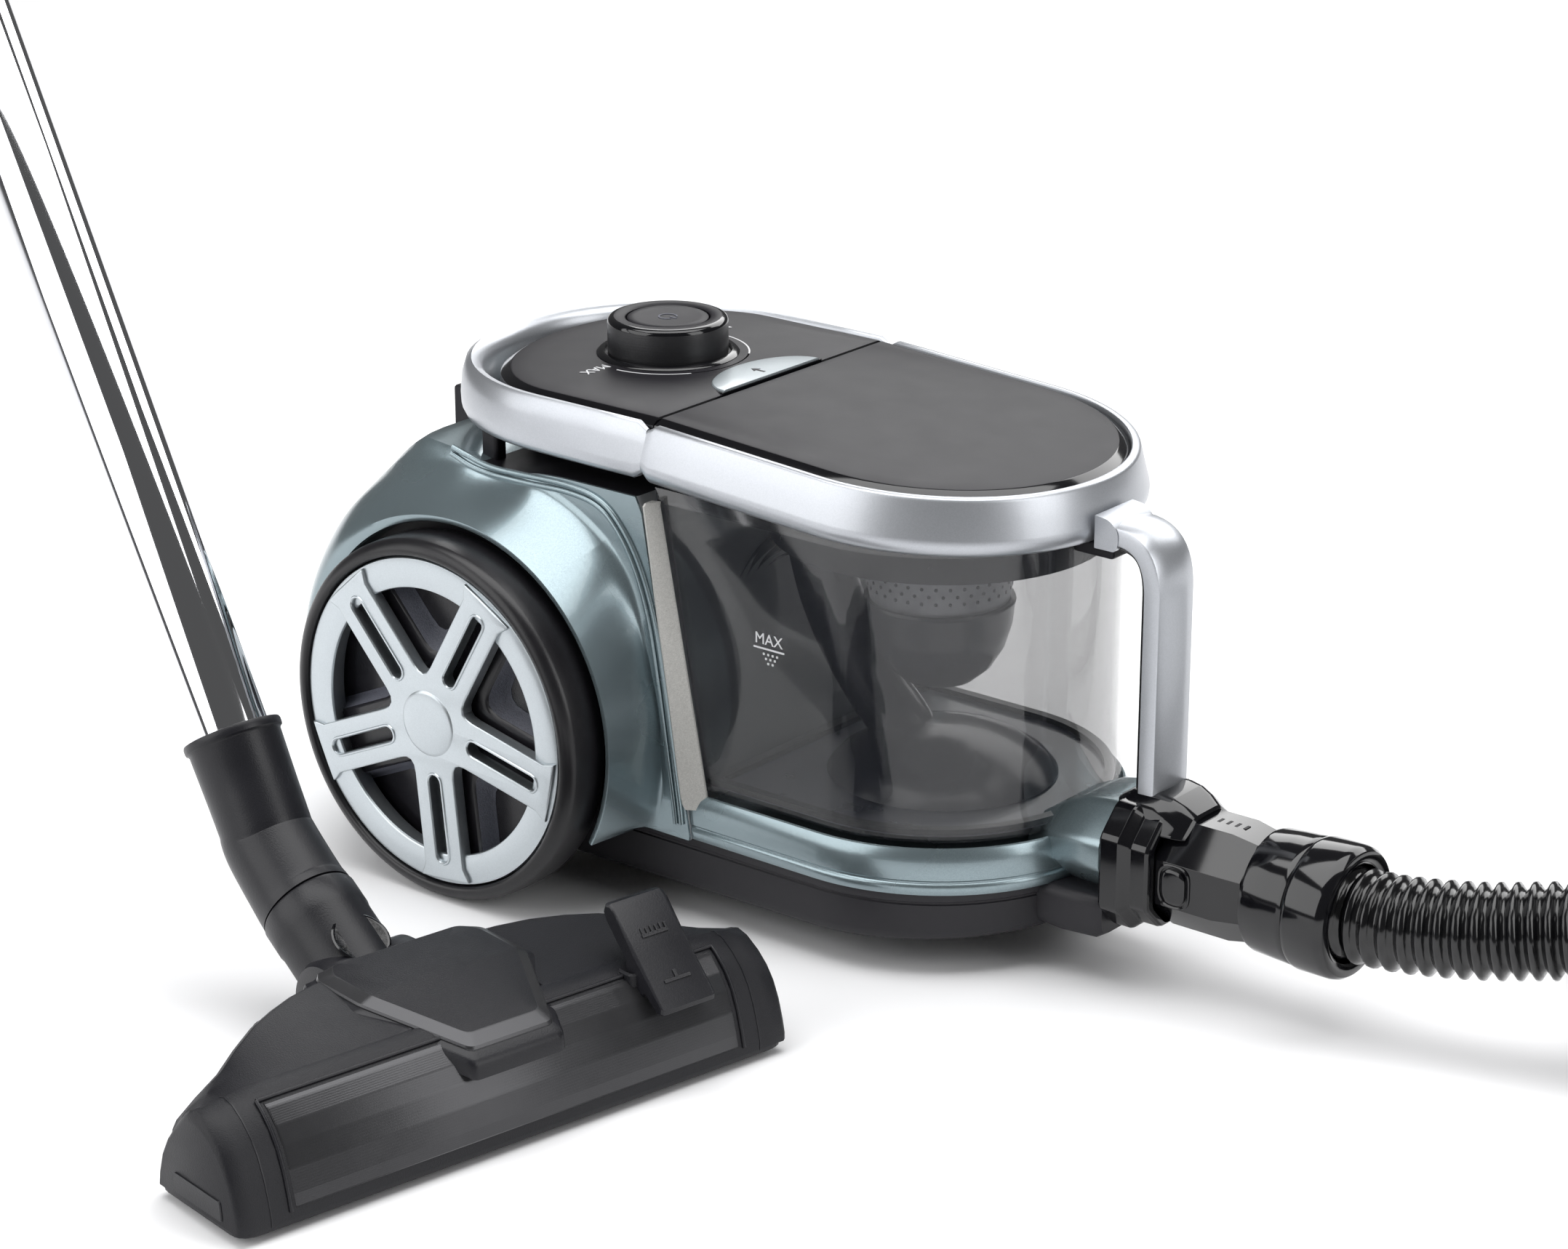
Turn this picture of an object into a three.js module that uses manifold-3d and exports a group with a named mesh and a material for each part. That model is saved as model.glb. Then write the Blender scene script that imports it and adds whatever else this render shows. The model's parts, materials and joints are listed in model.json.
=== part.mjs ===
// Canister vacuum cleaner with dust cup, hose, telescopic tube and floor nozzle.
// Millimetres. +X points towards the hose inlet, +Y to the left, +Z up.

import * as THREE from 'three';
import { mergeVertices } from 'three/addons/utils/BufferGeometryUtils.js';
import Module from 'manifold-3d';

const wasm = await Module();
wasm.setup();

// ---------------------------------------------------------------- driving dimensions
const GAP = 0.4;                // gap between touching pieces
const REAR_ARC_X = -90;         // centre of the round rear end of the top
const FRONT_ARC_X = 80;         // centre of the round front end of the top
const PANEL_HALF = 88;          // half width of the black top panels
const RING_HALF = 98.5;         // half width over the silver ring
const SEAM_X = -19;             // seam between the control panel and the lid
const TOP_Z = 243;              // height of the top panels at the seam
const LID_SLOPE = 3.2;          // degrees the lid falls towards the front
const RING_LOW_Z = 216;         // lower edge of the silver ring
const CUP_R = 88;               // outer radius of the dust cup
const CUP_LOW_Z = 66;           // underside of the dust cup
const CUP_TOP_Z = 206;          // rim of the dust cup
const WALL = 3;                 // plastic wall
const SPLIT_LOW_X = 8;          // cup to housing split at SPLIT_LOW_Z
const SPLIT_LOW_Z = 61;
const SPLIT_HIGH_X = -18;       // the same split at SPLIT_HIGH_Z
const SPLIT_HIGH_Z = 207;
const BODY_HALF = 95;           // half width of the housing's flat sides
const BASE_LOW_Z = 12;          // underside of the base
const BASE_TOP_Z = 42;          // top edge of the base
const BAND_R = 93;              // outer radius of the cradle band
const WHEEL_X = -109;           // wheel axle
const WHEEL_Z = 90;
const TYRE_R = 90;
const TYRE_IN = 120;            // inner face of the tyre, from the middle plane
const TYRE_OUT = 150;           // outer face of the tyre
const KNOB_X = -85;             // middle of the knob
const INLET_X = 210;            // middle of the inlet ring, on the inlet's level axis
const INLET_Z = 58;
const HOSE_R = 21.7;            // outer radius of the ribbed hose
const COIL_R = 218;             // coil radius at the middle of its turn
const COIL_X = 540;             // middle of the coil
const COIL_Y = 266;
const NOZZLE_X = 102.4;         // middle of the nozzle's front lower edge
const NOZZLE_Y = -312.9;
const NOZZLE_TURN = -11.25;     // degrees, nozzle heading
const NOZZLE_HALF = 143;        // half width of the nozzle
const TUBE_TILT = -33.2;        // degrees from upright
const TUBE_R = 17.5;            // chrome tube
const TUBE_LEN = 470;

const deg = THREE.MathUtils.degToRad;
const V3 = (x, y, z) => new THREE.Vector3(x, y, z);

// ---------------------------------------------------------------- solids
function toSolid(geometry) {
  const g = geometry.clone();
  g.deleteAttribute('normal');
  g.deleteAttribute('uv');
  const merged = mergeVertices(g, 1e-3);
  const mesh = new wasm.Mesh({
    numProp: 3,
    vertProperties: new Float32Array(merged.attributes.position.array),
    triVerts: new Uint32Array(merged.index.array),
  });
  return new wasm.Manifold(mesh);
}

function toGeometry(solid) {
  const mesh = solid.getMesh();
  const g = new THREE.BufferGeometry();
  g.setAttribute('position', new THREE.BufferAttribute(new Float32Array(mesh.vertProperties), 3));
  g.setIndex(new THREE.BufferAttribute(new Uint32Array(mesh.triVerts), 1));
  return g;
}

function join(first, ...others) {
  return toGeometry(others.reduce((sum, g) => sum.add(toSolid(g)), toSolid(first)));
}

function cut(first, ...others) {
  return toGeometry(others.reduce((sum, g) => sum.subtract(toSolid(g)), toSolid(first)));
}

function keep(first, other) {
  return toGeometry(toSolid(first).intersect(toSolid(other)));
}

// A box given by its lowest and highest corners.
function box(x0, y0, z0, x1, y1, z1) {
  const g = new THREE.BoxGeometry(x1 - x0, y1 - y0, z1 - z0);
  return g.translate((x0 + x1) / 2, (y0 + y1) / 2, (z0 + z1) / 2);
}

// A plan outline raised from z0 to z1.
function raise(shape, z0, z1, curveSegments = 20) {
  const g = new THREE.ExtrudeGeometry(shape, { depth: z1 - z0, bevelEnabled: false, curveSegments });
  return g.translate(0, 0, z0);
}

// A side outline (x, z) stretched from y0 to y1.
function widen(shape, y0, y1, curveSegments = 12) {
  const g = new THREE.ExtrudeGeometry(shape, { depth: y1 - y0, bevelEnabled: false, curveSegments });
  return g.rotateX(Math.PI / 2).translate(0, y1, 0);
}

// A turned solid about the local Z axis from [radius, height] pairs.
function turned(profile, sides = 32) {
  const g = new THREE.LatheGeometry(profile.map(([r, z]) => new THREE.Vector2(r, z)), sides);
  return g.rotateX(Math.PI / 2);
}

function disc(radius, z0, z1, sides = 32) {
  return turned([[0, z0], [radius, z0], [radius, z1], [0, z1]], sides);
}

function sleeve(inner, outer, z0, z1, sides = 32) {
  return turned([[inner, z0], [outer, z0], [outer, z1], [inner, z1], [inner, z0]], sides);
}

// Turns a solid made about Z so that it lies about X or Y.
const aboutX = (g) => g.rotateY(Math.PI / 2);
const aboutY = (g) => g.rotateX(-Math.PI / 2);

function tubeAlong(points, radius, sides, steps) {
  const ring = new THREE.Shape();
  ring.absarc(0, 0, radius, 0, 2 * Math.PI, false);
  const path = new THREE.CatmullRomCurve3(points, false, 'centripetal');
  const section = new THREE.Shape(ring.getPoints(sides / 4).slice(0, -1));
  return new THREE.ExtrudeGeometry(section, { steps, extrudePath: path, bevelEnabled: false });
}

// D outline: straight back at x, round front about FRONT_ARC_X.
function frontOutline(backX, half) {
  const s = new THREE.Shape();
  s.moveTo(backX, -half);
  s.lineTo(FRONT_ARC_X, -half);
  s.absarc(FRONT_ARC_X, 0, half, -Math.PI / 2, Math.PI / 2, false);
  s.lineTo(backX, half);
  s.closePath();
  return s;
}

// The mirror outline: round rear about REAR_ARC_X, straight front at x.
function rearOutline(frontX, half) {
  const s = new THREE.Shape();
  s.moveTo(frontX, half);
  s.lineTo(REAR_ARC_X, half);
  s.absarc(REAR_ARC_X, 0, half, Math.PI / 2, 3 * Math.PI / 2, false);
  s.lineTo(frontX, -half);
  s.closePath();
  return s;
}

// x of the inclined split between cup and housing at a height.
function splitX(z) {
  const t = (z - SPLIT_LOW_Z) / (SPLIT_HIGH_Z - SPLIT_LOW_Z);
  return SPLIT_LOW_X + t * (SPLIT_HIGH_X - SPLIT_LOW_X);
}

function shapeFrom(points) {
  return new THREE.Shape(points.map(([x, y]) => new THREE.Vector2(x, y)));
}

// Everything in front of the split, moved forward by a margin.
function frontOfSplit(margin) {
  return widen(shapeFrom([
    [splitX(0) + margin, 0], [400, 0], [400, 300], [splitX(300) + margin, 300],
  ]), -200, 200);
}

// ---------------------------------------------------------------- assembly helpers
const vacuum = new THREE.Group();

function add(parent, name, geometry, color, roughness = 0.5, metalness = 0) {
  const material = new THREE.MeshStandardMaterial({ color, roughness, metalness });
  const mesh = new THREE.Mesh(geometry, material);
  mesh.name = name;
  parent.add(mesh);
  return mesh;
}

const BLUE_GREY = 0x7d8c90;
const SILVER = 0xc9ccd1;
const CHARCOAL = 0x454449;
const SATIN_BLACK = 0x39383c;
const GLOSS_BLACK = 0x1c1c20;
const SMOKE = 0x6b6b6b;
const STEEL = 0xd8d8dc;

// ---------------------------------------------------------------- lower base
const CASTER_X = 118;           // caster swivel axis
const CASTER_WELL = 32;         // half width of the square caster housing

// The underside rises towards the front.
function undersideRise() {
  return widen(shapeFrom([[20, BASE_LOW_Z - 1], [20, BASE_LOW_Z], [200, 21], [200, BASE_LOW_Z - 1]]), -120, 120);
}

function lowerBase() {
  const rearX = -186;
  const outline = frontOutline(rearX, 90);
  const inner = frontOutline(rearX + WALL, 90 - WALL);
  const tub = cut(raise(outline, BASE_LOW_Z, BASE_TOP_Z), raise(inner, BASE_LOW_Z + WALL, BASE_TOP_Z + 1));
  const nose = box(152, -30, BASE_LOW_Z, 197, 30, 29);
  const reach = CASTER_WELL + GAP;
  const hole = box(CASTER_X - reach, -reach, BASE_LOW_Z - 1, CASTER_X + reach, reach, BASE_TOP_Z + 1);
  return cut(join(tub, nose), undersideRise(), hole, inletRoom());
}

function casterHousing() {
  const inside = CASTER_WELL - 2;
  const outer = box(CASTER_X - CASTER_WELL, -CASTER_WELL, BASE_LOW_Z, CASTER_X + CASTER_WELL, CASTER_WELL, BASE_TOP_Z);
  const pocket = box(CASTER_X - inside, -inside, BASE_LOW_Z - 1, CASTER_X + inside, inside, BASE_TOP_Z - 3);
  return cut(outer, undersideRise(), pocket);
}

// ---------------------------------------------------------------- rear housing
function bodyProfile(inset) {
  const s = new THREE.Shape();
  const low = BASE_TOP_Z + GAP;
  const high = 205 - inset;
  s.moveTo(splitX(low) - GAP - inset * 1.5, low - (inset > 0 ? 2 : 0));
  s.lineTo(splitX(high) - GAP - inset * 1.5, high);
  s.lineTo(-150 + inset, high);
  s.quadraticCurveTo(-200 + inset, 195 - inset, -206 + inset, 120);
  s.lineTo(-198 + inset, low - (inset > 0 ? 2 : 0));
  s.closePath();
  return s;
}

// The axle stubs are moulded on the housing.
function axleStub() {
  return disc(4.4, TYRE_IN - 6, TYRE_OUT - 8, 12);
}

// A fender is turned about the wheel axle: wide at the body, thin at its lip.
function fender() {
  const profile = [
    [0, BODY_HALF - 6], [118, BODY_HALF - 6], [118, BODY_HALF + 2], [110, BODY_HALF + 18],
    [99, BODY_HALF + 34], [93.5, BODY_HALF + 34], [93.5, TYRE_IN - 3], [0, TYRE_IN - 3],
  ];
  return turned(profile, 30);
}

function wheelSide(geometry, side) {
  return geometry.rotateX(-side * Math.PI / 2).translate(WHEEL_X, 0, WHEEL_Z);
}

function rearHousing() {
  const room = cut(box(-260, -200, BASE_TOP_Z + GAP, 50, 200, 260), frontOfSplit(-12));
  let shell = widen(bodyProfile(0), -BODY_HALF, BODY_HALF);
  for (const side of [1, -1]) {
    shell = join(shell, keep(wheelSide(fender(), side), room), wheelSide(axleStub(), side));
  }
  const hollow = widen(bodyProfile(WALL), -BODY_HALF + WALL, BODY_HALF - WALL);
  const filterPort = aboutX(disc(46, -30, 30)).translate(-12, 0, 122);
  const grillePort = box(-230, -38, 132, -180, 38, 168);
  const cordPort = aboutX(disc(8, -30, 30)).translate(-200, 55, 80);
  return cut(shell, hollow, filterPort, grillePort, cordPort);
}

function trimStrip(side) {
  const strip = shapeFrom([
    [splitX(62) - GAP - 10, 62], [splitX(62) - GAP, 62], [splitX(204) - GAP, 204], [splitX(204) - GAP - 10, 204],
  ]);
  const y = side * (BODY_HALF + 1.2);
  return widen(strip, y - 0.8, y + 0.8, 1);
}

function cradleBand() {
  const plate = cut(
    raise(frontOutline(-40, BAND_R), BASE_TOP_Z + GAP, 70, 24),
    raise(frontOutline(-45, CUP_R + GAP), CUP_LOW_Z - 1.5, 71, 24),
    raise(frontOutline(-37, BAND_R - WALL), BASE_TOP_Z - 1, CUP_LOW_Z - 4.5, 24),
    inletRoom(),
  );
  return keep(plate, frontOfSplit(0));
}

// ---------------------------------------------------------------- rear top
const DECK_HALF = 66;

function rearDeck() {
  return raise(rearOutline(SEAM_X - GAP, DECK_HALF), 205 + GAP, 236 - GAP, 16);
}

function rearHandle() {
  const band = cut(
    raise(rearOutline(SEAM_X - GAP, RING_HALF - 1.5), RING_LOW_Z, TOP_Z, 18),
    raise(rearOutline(SEAM_X + 5, PANEL_HALF + 0.5), RING_LOW_Z - 1, TOP_Z + 1, 18),
  );
  return band;
}

function controlPanel() {
  const plate = raise(rearOutline(SEAM_X - GAP, PANEL_HALF), 236, TOP_Z, 18);
  const buttonSlot = raise(halfMoon(GAP), 235, TOP_Z + 1, 12).translate(SEAM_X - GAP, 0, 0);
  const knobHole = disc(12, 235, TOP_Z + 1, 20).translate(KNOB_X, 0, 0);
  const knobRing = sleeve(31, 35, TOP_Z - 1, TOP_Z + 3, 36).translate(KNOB_X, 0, 0);
  return join(cut(plate, buttonSlot, knobHole), knobRing);
}

// Half-moon outline with its straight edge at x = 0.
function halfMoon(margin) {
  const s = new THREE.Shape();
  s.absellipse(0, 0, 23 + margin, 36 + margin, Math.PI / 2, 3 * Math.PI / 2, false, 0);
  s.lineTo(1, -36 - margin);
  s.lineTo(1, 36 + margin);
  s.closePath();
  return s;
}

function binRelease() {
  const cap = keep(raise(halfMoon(0), 238.5, TOP_Z + 1, 12), box(-40, -60, 230, -GAP, 60, 260));
  return cap.translate(SEAM_X - GAP, 0, 0);
}

function controlKnob() {
  return turned([
    [21, TOP_Z + 1], [29.5, TOP_Z + 1], [29.5, TOP_Z + 14], [27.5, TOP_Z + 16.5],
    [20.6, TOP_Z + 16.5], [20.6, TOP_Z + 9], [21, TOP_Z + 1],
  ], 28).translate(KNOB_X, 0, 0);
}

function powerButton() {
  return turned([
    [0, TOP_Z + 6], [18, TOP_Z + 6], [20, TOP_Z + 12], [20, TOP_Z + 16], [0, TOP_Z + 16],
  ], 28).translate(KNOB_X, 0, 0);
}

// ---------------------------------------------------------------- lid
function lidTurned(geometry) {
  return geometry.translate(-SEAM_X, 0, -TOP_Z).rotateY(deg(LID_SLOPE)).translate(SEAM_X, 0, TOP_Z);
}

function lidPanel() {
  return lidTurned(raise(frontOutline(SEAM_X + GAP, PANEL_HALF), TOP_Z - 6, TOP_Z, 24));
}

function lidRing() {
  const band = cut(
    raise(frontOutline(SEAM_X + GAP, RING_HALF), RING_LOW_Z + 2, TOP_Z - 0.5, 24),
    raise(frontOutline(SEAM_X - 5, PANEL_HALF + 0.6), RING_LOW_Z - 1, TOP_Z + 1, 24),
  );
  const seamRelief = box(SEAM_X - 10, -120, 200, SEAM_X + GAP, 120, 260);
  return cut(lidTurned(band), seamRelief);
}

function lidLatch() {
  return box(179.6, -14.5, 206.6, 185.6, 14.5, 218.5);
}

// ---------------------------------------------------------------- dust cup
function dustCup() {
  const outer = raise(frontOutline(-40, CUP_R), CUP_LOW_Z, CUP_TOP_Z, 24);
  const inner = raise(frontOutline(-40, CUP_R - WALL), CUP_LOW_Z + WALL, CUP_TOP_Z + 10, 24);
  const shell = keep(outer, frontOfSplit(GAP));
  const hollow = keep(inner, frontOfSplit(WALL + GAP));
  const port = aboutX(disc(34, -30, 30)).translate(-8, 0, 122);
  const bracket = box(CUP_R + FRONT_ARC_X - 3, -14, 193, 192, 14, 203);
  return cut(join(shell, bracket), hollow, port);
}

function cupHandle() {
  const outerX = 214;
  const innerX = 204;
  const topZ = 217;
  const s = new THREE.Shape();
  s.moveTo(186, topZ);
  s.quadraticCurveTo(outerX, topZ, outerX, 187);
  s.lineTo(outerX, 98);
  s.lineTo(innerX, 98);
  s.lineTo(innerX, 187);
  s.quadraticCurveTo(innerX, topZ - 12, 192.6, topZ - 13);
  s.lineTo(186, topZ - 13);
  s.closePath();
  return widen(s, -14, 14, 8);
}

function cupGasket() {
  const ring = cut(
    raise(frontOutline(-30, CUP_R - WALL - GAP), CUP_LOW_Z + WALL + GAP, CUP_LOW_Z + WALL + 3, 20),
    raise(frontOutline(-29, CUP_R - WALL - 6), CUP_LOW_Z, CUP_TOP_Z, 20),
  );
  return keep(ring, frontOfSplit(WALL + 2 * GAP + 1));
}

const CYCLONE_X = 92;

function meshFilter() {
  return sleeve(34, 37, 128, 222, 28).translate(CYCLONE_X, 0, 0);
}

function filterSkirt() {
  return turned([
    [50, 204], [50, 201], [77, 201], [77, 190], [80, 190], [80, 204], [50, 204],
  ], 24).translate(FRONT_ARC_X + 1, 0, 0);
}

// The bowl closes the filter below, and the duct brings the dusty air up beside it.
function intakeDuct() {
  const bowlProfile = [
    [0, 92], [18, 94], [32, 103], [40, 120], [40, 127], [36.5, 127], [30, 108], [17, 98], [0, 96],
  ];
  const bowl = turned(bowlProfile, 24).translate(CYCLONE_X, 0, 0);
  const route = [V3(68, 0, 80), V3(60, 0, 94), V3(34, -4, 122), V3(17, -10, 165)];
  const duct = tubeAlong(route, 17, 12, 8);
  return join(bowl, duct);
}

// ---------------------------------------------------------------- hose inlet
function inletPlaced(geometry) {
  return geometry.translate(INLET_X, 0, INLET_Z);
}

// Cross-section of the inlet, seen along X: a box with cut corners, as (y, z) from the axis.
function inletSection(half, high, low, corner) {
  return shapeFrom([
    [-half, low + corner], [-half + corner, low], [half - corner, low], [half, low + corner],
    [half, high - corner], [half - corner, high], [-half + corner, high], [-half, high - corner],
  ]);
}

// A section (y, z) stretched from x0 to x1.
function lengthen(section, x0, x1) {
  const g = new THREE.ExtrudeGeometry(section, { depth: x1 - x0, bevelEnabled: false });
  return g.rotateX(Math.PI / 2).rotateZ(Math.PI / 2).translate(x0, 0, 0);
}

// Room that the base and the cradle band leave for the collar.
function inletRoom() {
  return inletPlaced(lengthen(inletSection(34.5, 36, -29, 12), -90, 60));
}

function inletCollar() {
  const collar = inletPlaced(lengthen(inletSection(34, 34, -28.5, 12), -50, -12.4));
  const bore = inletPlaced(aboutX(disc(27, -60, 20, 24)));
  const cupRoom = raise(frontOutline(-60, CUP_R + GAP), CUP_LOW_Z - 2, 200, 24);
  const saddleRoom = inletPlaced(box(-26, -19.5, 29.5, 0, 19.5, 40));
  return cut(collar, bore, cupRoom, saddleRoom);
}

function inletRing() {
  const rear = lengthen(inletSection(36, 35, -28.5, 11), -12, 4);
  const front = lengthen(inletSection(33, 32, -24, 12), 3, 13);
  const saddle = join(box(-25, -19, 30, 13, 19, 37), box(10, -19, 30.5, 22, 19, 35));
  const bore = aboutX(disc(27, -40, 60, 24));
  const ring = cut(join(rear, front, saddle), bore);
  const cupRoom = raise(frontOutline(-60, CUP_R + GAP), 0, 200, 24);
  return cut(inletPlaced(ring), cupRoom);
}

// Flat-to-flat radius of the eight-sided connector, and where it sits along the inlet axis.
const CONNECTOR_R = 26;
const CUFF_START = 58;
const CUFF_END = 104;

function hoseConnector() {
  const corner = CONNECTOR_R / Math.cos(Math.PI / 8);
  const profile = [
    [19, -30], [24, -30], [24, 13.5], [corner, 13.5], [corner, 44], [corner - 2.5, CUFF_START - GAP],
    [19, CUFF_START - GAP], [19, -30],
  ];
  const body = aboutX(turned(profile, 8).rotateZ(Math.PI / 8));
  const left = box(16, 22.4, -8.5, 31, 40, 8.5);
  const right = box(16, -40, -8.5, 31, -22.4, 8.5);
  return inletPlaced(cut(body, left, right));
}

function connectorButton(side) {
  const middle = side * 26.1;
  return inletPlaced(box(16 + GAP, middle - 1.5, -8.5 + GAP, 31 - GAP, middle + 1.5, 8.5 - GAP));
}

function hoseCuff() {
  const profile = [
    [HOSE_R + GAP, CUFF_START], [27.5, CUFF_START], [29, CUFF_START + 3], [29, CUFF_END - 8],
    [31, CUFF_END - 7], [31, CUFF_END - 1], [29, CUFF_END], [HOSE_R + GAP, CUFF_END], [HOSE_R + GAP, CUFF_START],
  ];
  return inletPlaced(aboutX(turned(profile, 24)));
}

// ---------------------------------------------------------------- hose and grip
const COIL_TOP = 4 * HOSE_R + 1.4;          // the first turn starts on top of the last

// Free stretch of the hose's middle line, from inside the cuff to the coil.
const hoseRoute = [
  V3(290, 0, INLET_Z), V3(303, 0, INLET_Z), V3(316, 0.3, INLET_Z), V3(338, 2.5, 59), V3(370, 10, 62.5), V3(404, 22, 68),
  V3(440, 34, 74), V3(475, 43, 77), V3(510, 47.5, 73),
];

function coilRing(margin) {
  const low = margin > 0 ? -5 : 0.4;
  return turned([
    [COIL_R - HOSE_R - margin, low], [COIL_R + HOSE_R + margin, low],
    [COIL_R + HOSE_R + margin, COIL_TOP + margin], [COIL_R - HOSE_R - margin, COIL_TOP + margin],
    [COIL_R - HOSE_R - margin, low],
  ], 40).translate(COIL_X, COIL_Y, 0);
}

function hoseTube() {
  return cut(tubeAlong(hoseRoute, HOSE_R, 12, 20), coilRing(GAP));
}

// The last turn leaves the coil on the floor, passes below the first and ends in the hand grip.
const LEAVE_ANGLE = 240;        // degrees round the coil
const TAIL_LEN = 150;
const GRIP_R = 23;
const FLOOR_Z = HOSE_R + 0.6;

// Made along +X from the point where the hose leaves the coil, then placed.
function tailPlaced(geometry) {
  const a = deg(LEAVE_ANGLE);
  const placed = geometry.rotateZ(a - 1.5 * Math.PI);
  return placed.translate(COIL_X + COIL_R * Math.cos(a), COIL_Y + COIL_R * Math.sin(a), FLOOR_Z);
}

function hoseTail() {
  const route = [V3(40, 0, 0), V3(70, 0, 0), V3(110, 0, 0), V3(TAIL_LEN, 0, 0)];
  return cut(tailPlaced(tubeAlong(route, HOSE_R, 12, 4)), coilRing(GAP));
}

function hoseGrip() {
  const socket = aboutX(disc(GRIP_R + 1.5, 0.6, 26, 20)).translate(TAIL_LEN, 0, 3);
  const route = [V3(TAIL_LEN + 20, 0, 2), V3(TAIL_LEN + 60, 2, 2), V3(TAIL_LEN + 110, 12, 1), V3(TAIL_LEN + 165, 34, 0)];
  const handle = tubeAlong(route, 20, 12, 8);
  const slot = box(TAIL_LEN + 44, -6, 17, TAIL_LEN + 84, 10, 40);
  const bore = aboutX(disc(HOSE_R - 6, -5, 40, 12)).translate(TAIL_LEN, 0, 3);
  return tailPlaced(cut(join(socket, handle), slot, bore));
}

function airSlider() {
  return tailPlaced(box(TAIL_LEN + 50, -4, 17.4, TAIL_LEN + 64, 8, 23));
}

// ---------------------------------------------------------------- wheels
function tyre(side) {
  const mid = (TYRE_IN + TYRE_OUT) / 2;
  const profile = [
    [82, TYRE_IN], [87, TYRE_IN], [TYRE_R, mid - 6], [TYRE_R, mid + 6],
    [87, TYRE_OUT], [82, TYRE_OUT], [82, TYRE_IN],
  ];
  return wheelSide(turned(profile, 28), side);
}

function rim(side) {
  const band = sleeve(78, 82 - GAP, TYRE_IN + 2, TYRE_OUT - 1, 28);
  const face = sleeve(68, 80, TYRE_OUT - 8, TYRE_OUT - 1, 28);
  const hub = disc(17, TYRE_OUT - 24, TYRE_OUT + 1, 14);
  let wheel = join(band, face, hub);
  for (let k = 0; k < 5; k += 1) {
    const spoke = box(10, -12, TYRE_OUT - 9, 72, 12, TYRE_OUT - 3).rotateZ(deg(90 + 72 * k));
    wheel = join(wheel, spoke);
  }
  const bore = disc(5, TYRE_OUT - 40, TYRE_OUT - 6, 12);
  return wheelSide(cut(wheel, bore), side);
}

function wheelDisc(side) {
  return wheelSide(sleeve(5.4, 77.2, TYRE_IN + 2, TYRE_IN + 5, 28), side);
}

// ---------------------------------------------------------------- caster
const CASTER_R = 15;
const CASTER_TRAIL = 9;

function casterFork() {
  const plate = disc(22, BASE_TOP_Z - 7, BASE_TOP_Z - 3.5, 24);
  const armShape = box(-CASTER_TRAIL - 6, 9.5, CASTER_R - 4, -CASTER_TRAIL + 6, 12.5, BASE_TOP_Z - 6);
  const arms = join(armShape, armShape.clone().translate(0, -22, 0));
  const pin = aboutY(disc(2.4, -11, 11, 12)).translate(-CASTER_TRAIL, 0, CASTER_R);
  return join(plate, arms, pin).translate(CASTER_X, 0, 0);
}

function casterWheel() {
  return aboutY(sleeve(3, CASTER_R, -8, 8, 24)).translate(CASTER_X - CASTER_TRAIL, 0, CASTER_R);
}

// ---------------------------------------------------------------- inside the housing
function motor() {
  return aboutX(turned([[0, 0], [24, 0], [44, 14], [44, 46], [0, 46]], 24)).translate(-88, 0, 122);
}

function motorFan() {
  return aboutX(sleeve(5, 42, 0, 10, 24)).translate(-40, 0, 122);
}

function motorShaftRoom() {
  return aboutX(disc(4.6, 45, 60, 12)).translate(-88, 0, 122);
}

function motorFilter() {
  return aboutX(disc(45, -5, 5, 24)).translate(splitX(167) - 7, 0, 122);
}

function exhaustFilter() {
  return box(-199, -36, 134, -186, 36, 166);
}

function exhaustGrille() {
  let grille = box(-206, -37.5, 132.5, -201, 37.5, 167.5);
  for (let k = 0; k < 6; k += 1) {
    grille = cut(grille, box(-210, -33, 136 + 5 * k, -199, 33, 138.5 + 5 * k));
  }
  return grille;
}

function cordReel() {
  return aboutY(turned([
    [12, -30], [40, -30], [40, -27], [20, -27], [20, 27], [40, 27], [40, 30], [12, 30], [12, -30],
  ], 24)).translate(-140, 0, 92);
}

function cordOutlet() {
  return aboutX(sleeve(5, 7.6, -6, 6, 20)).translate(-204, 55, 80);
}

// ---------------------------------------------------------------- floor nozzle (local: +X front, +Y along)
function headProfile(inset) {
  const s = new THREE.Shape();
  s.moveTo(-inset, 6);
  s.quadraticCurveTo(-2 - inset, 40 - inset, -22, 50 - inset);
  s.lineTo(-38, 52 - inset);
  s.lineTo(-62 + inset, 32 - inset);
  s.lineTo(-66 + inset, 6);
  s.closePath();
  return s;
}

function headShell() {
  const bar = widen(headProfile(0), -NOZZLE_HALF, NOZZLE_HALF, 8);
  const block = widen(shapeFrom([[-50, 6], [-50, 52], [-66, 54], [-100, 46], [-104, 6]]), -40, 40);
  const brackets = join(box(-124, -56, 14, -90, -46, 34), box(-124, 46, 14, -90, 56, 34));
  const bridge = box(-100, -56, 14, -60, 56, 34);
  const hollow = widen(headProfile(3), -NOZZLE_HALF + 3, NOZZLE_HALF - 3, 8).translate(0, 0, -4);
  const rearHollow = box(-97, -34, 0, -40, 34, 40);
  const elbowRoom = aboutY(disc(25, -27, 27, 28)).translate(-116, 0, 26);
  const slope = lengthen(shapeFrom([[148, 26], [148, 60], [104, 60], [104, 53]]), -90, 20);
  const otherSlope = lengthen(shapeFrom([[-148, 26], [-104, 53], [-104, 60], [-148, 60]]), -90, 20);
  const stripRoom = box(-16, -116, 4, 5, 116, 45);
  const pedalRoom = box(-46, 70, 36, -15, 104, 60);
  const solid = cut(join(bar, block, brackets, bridge), slope, otherSlope);
  return cut(solid, hollow, rearHollow, elbowRoom, stripRoom, pedalRoom);
}

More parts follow.
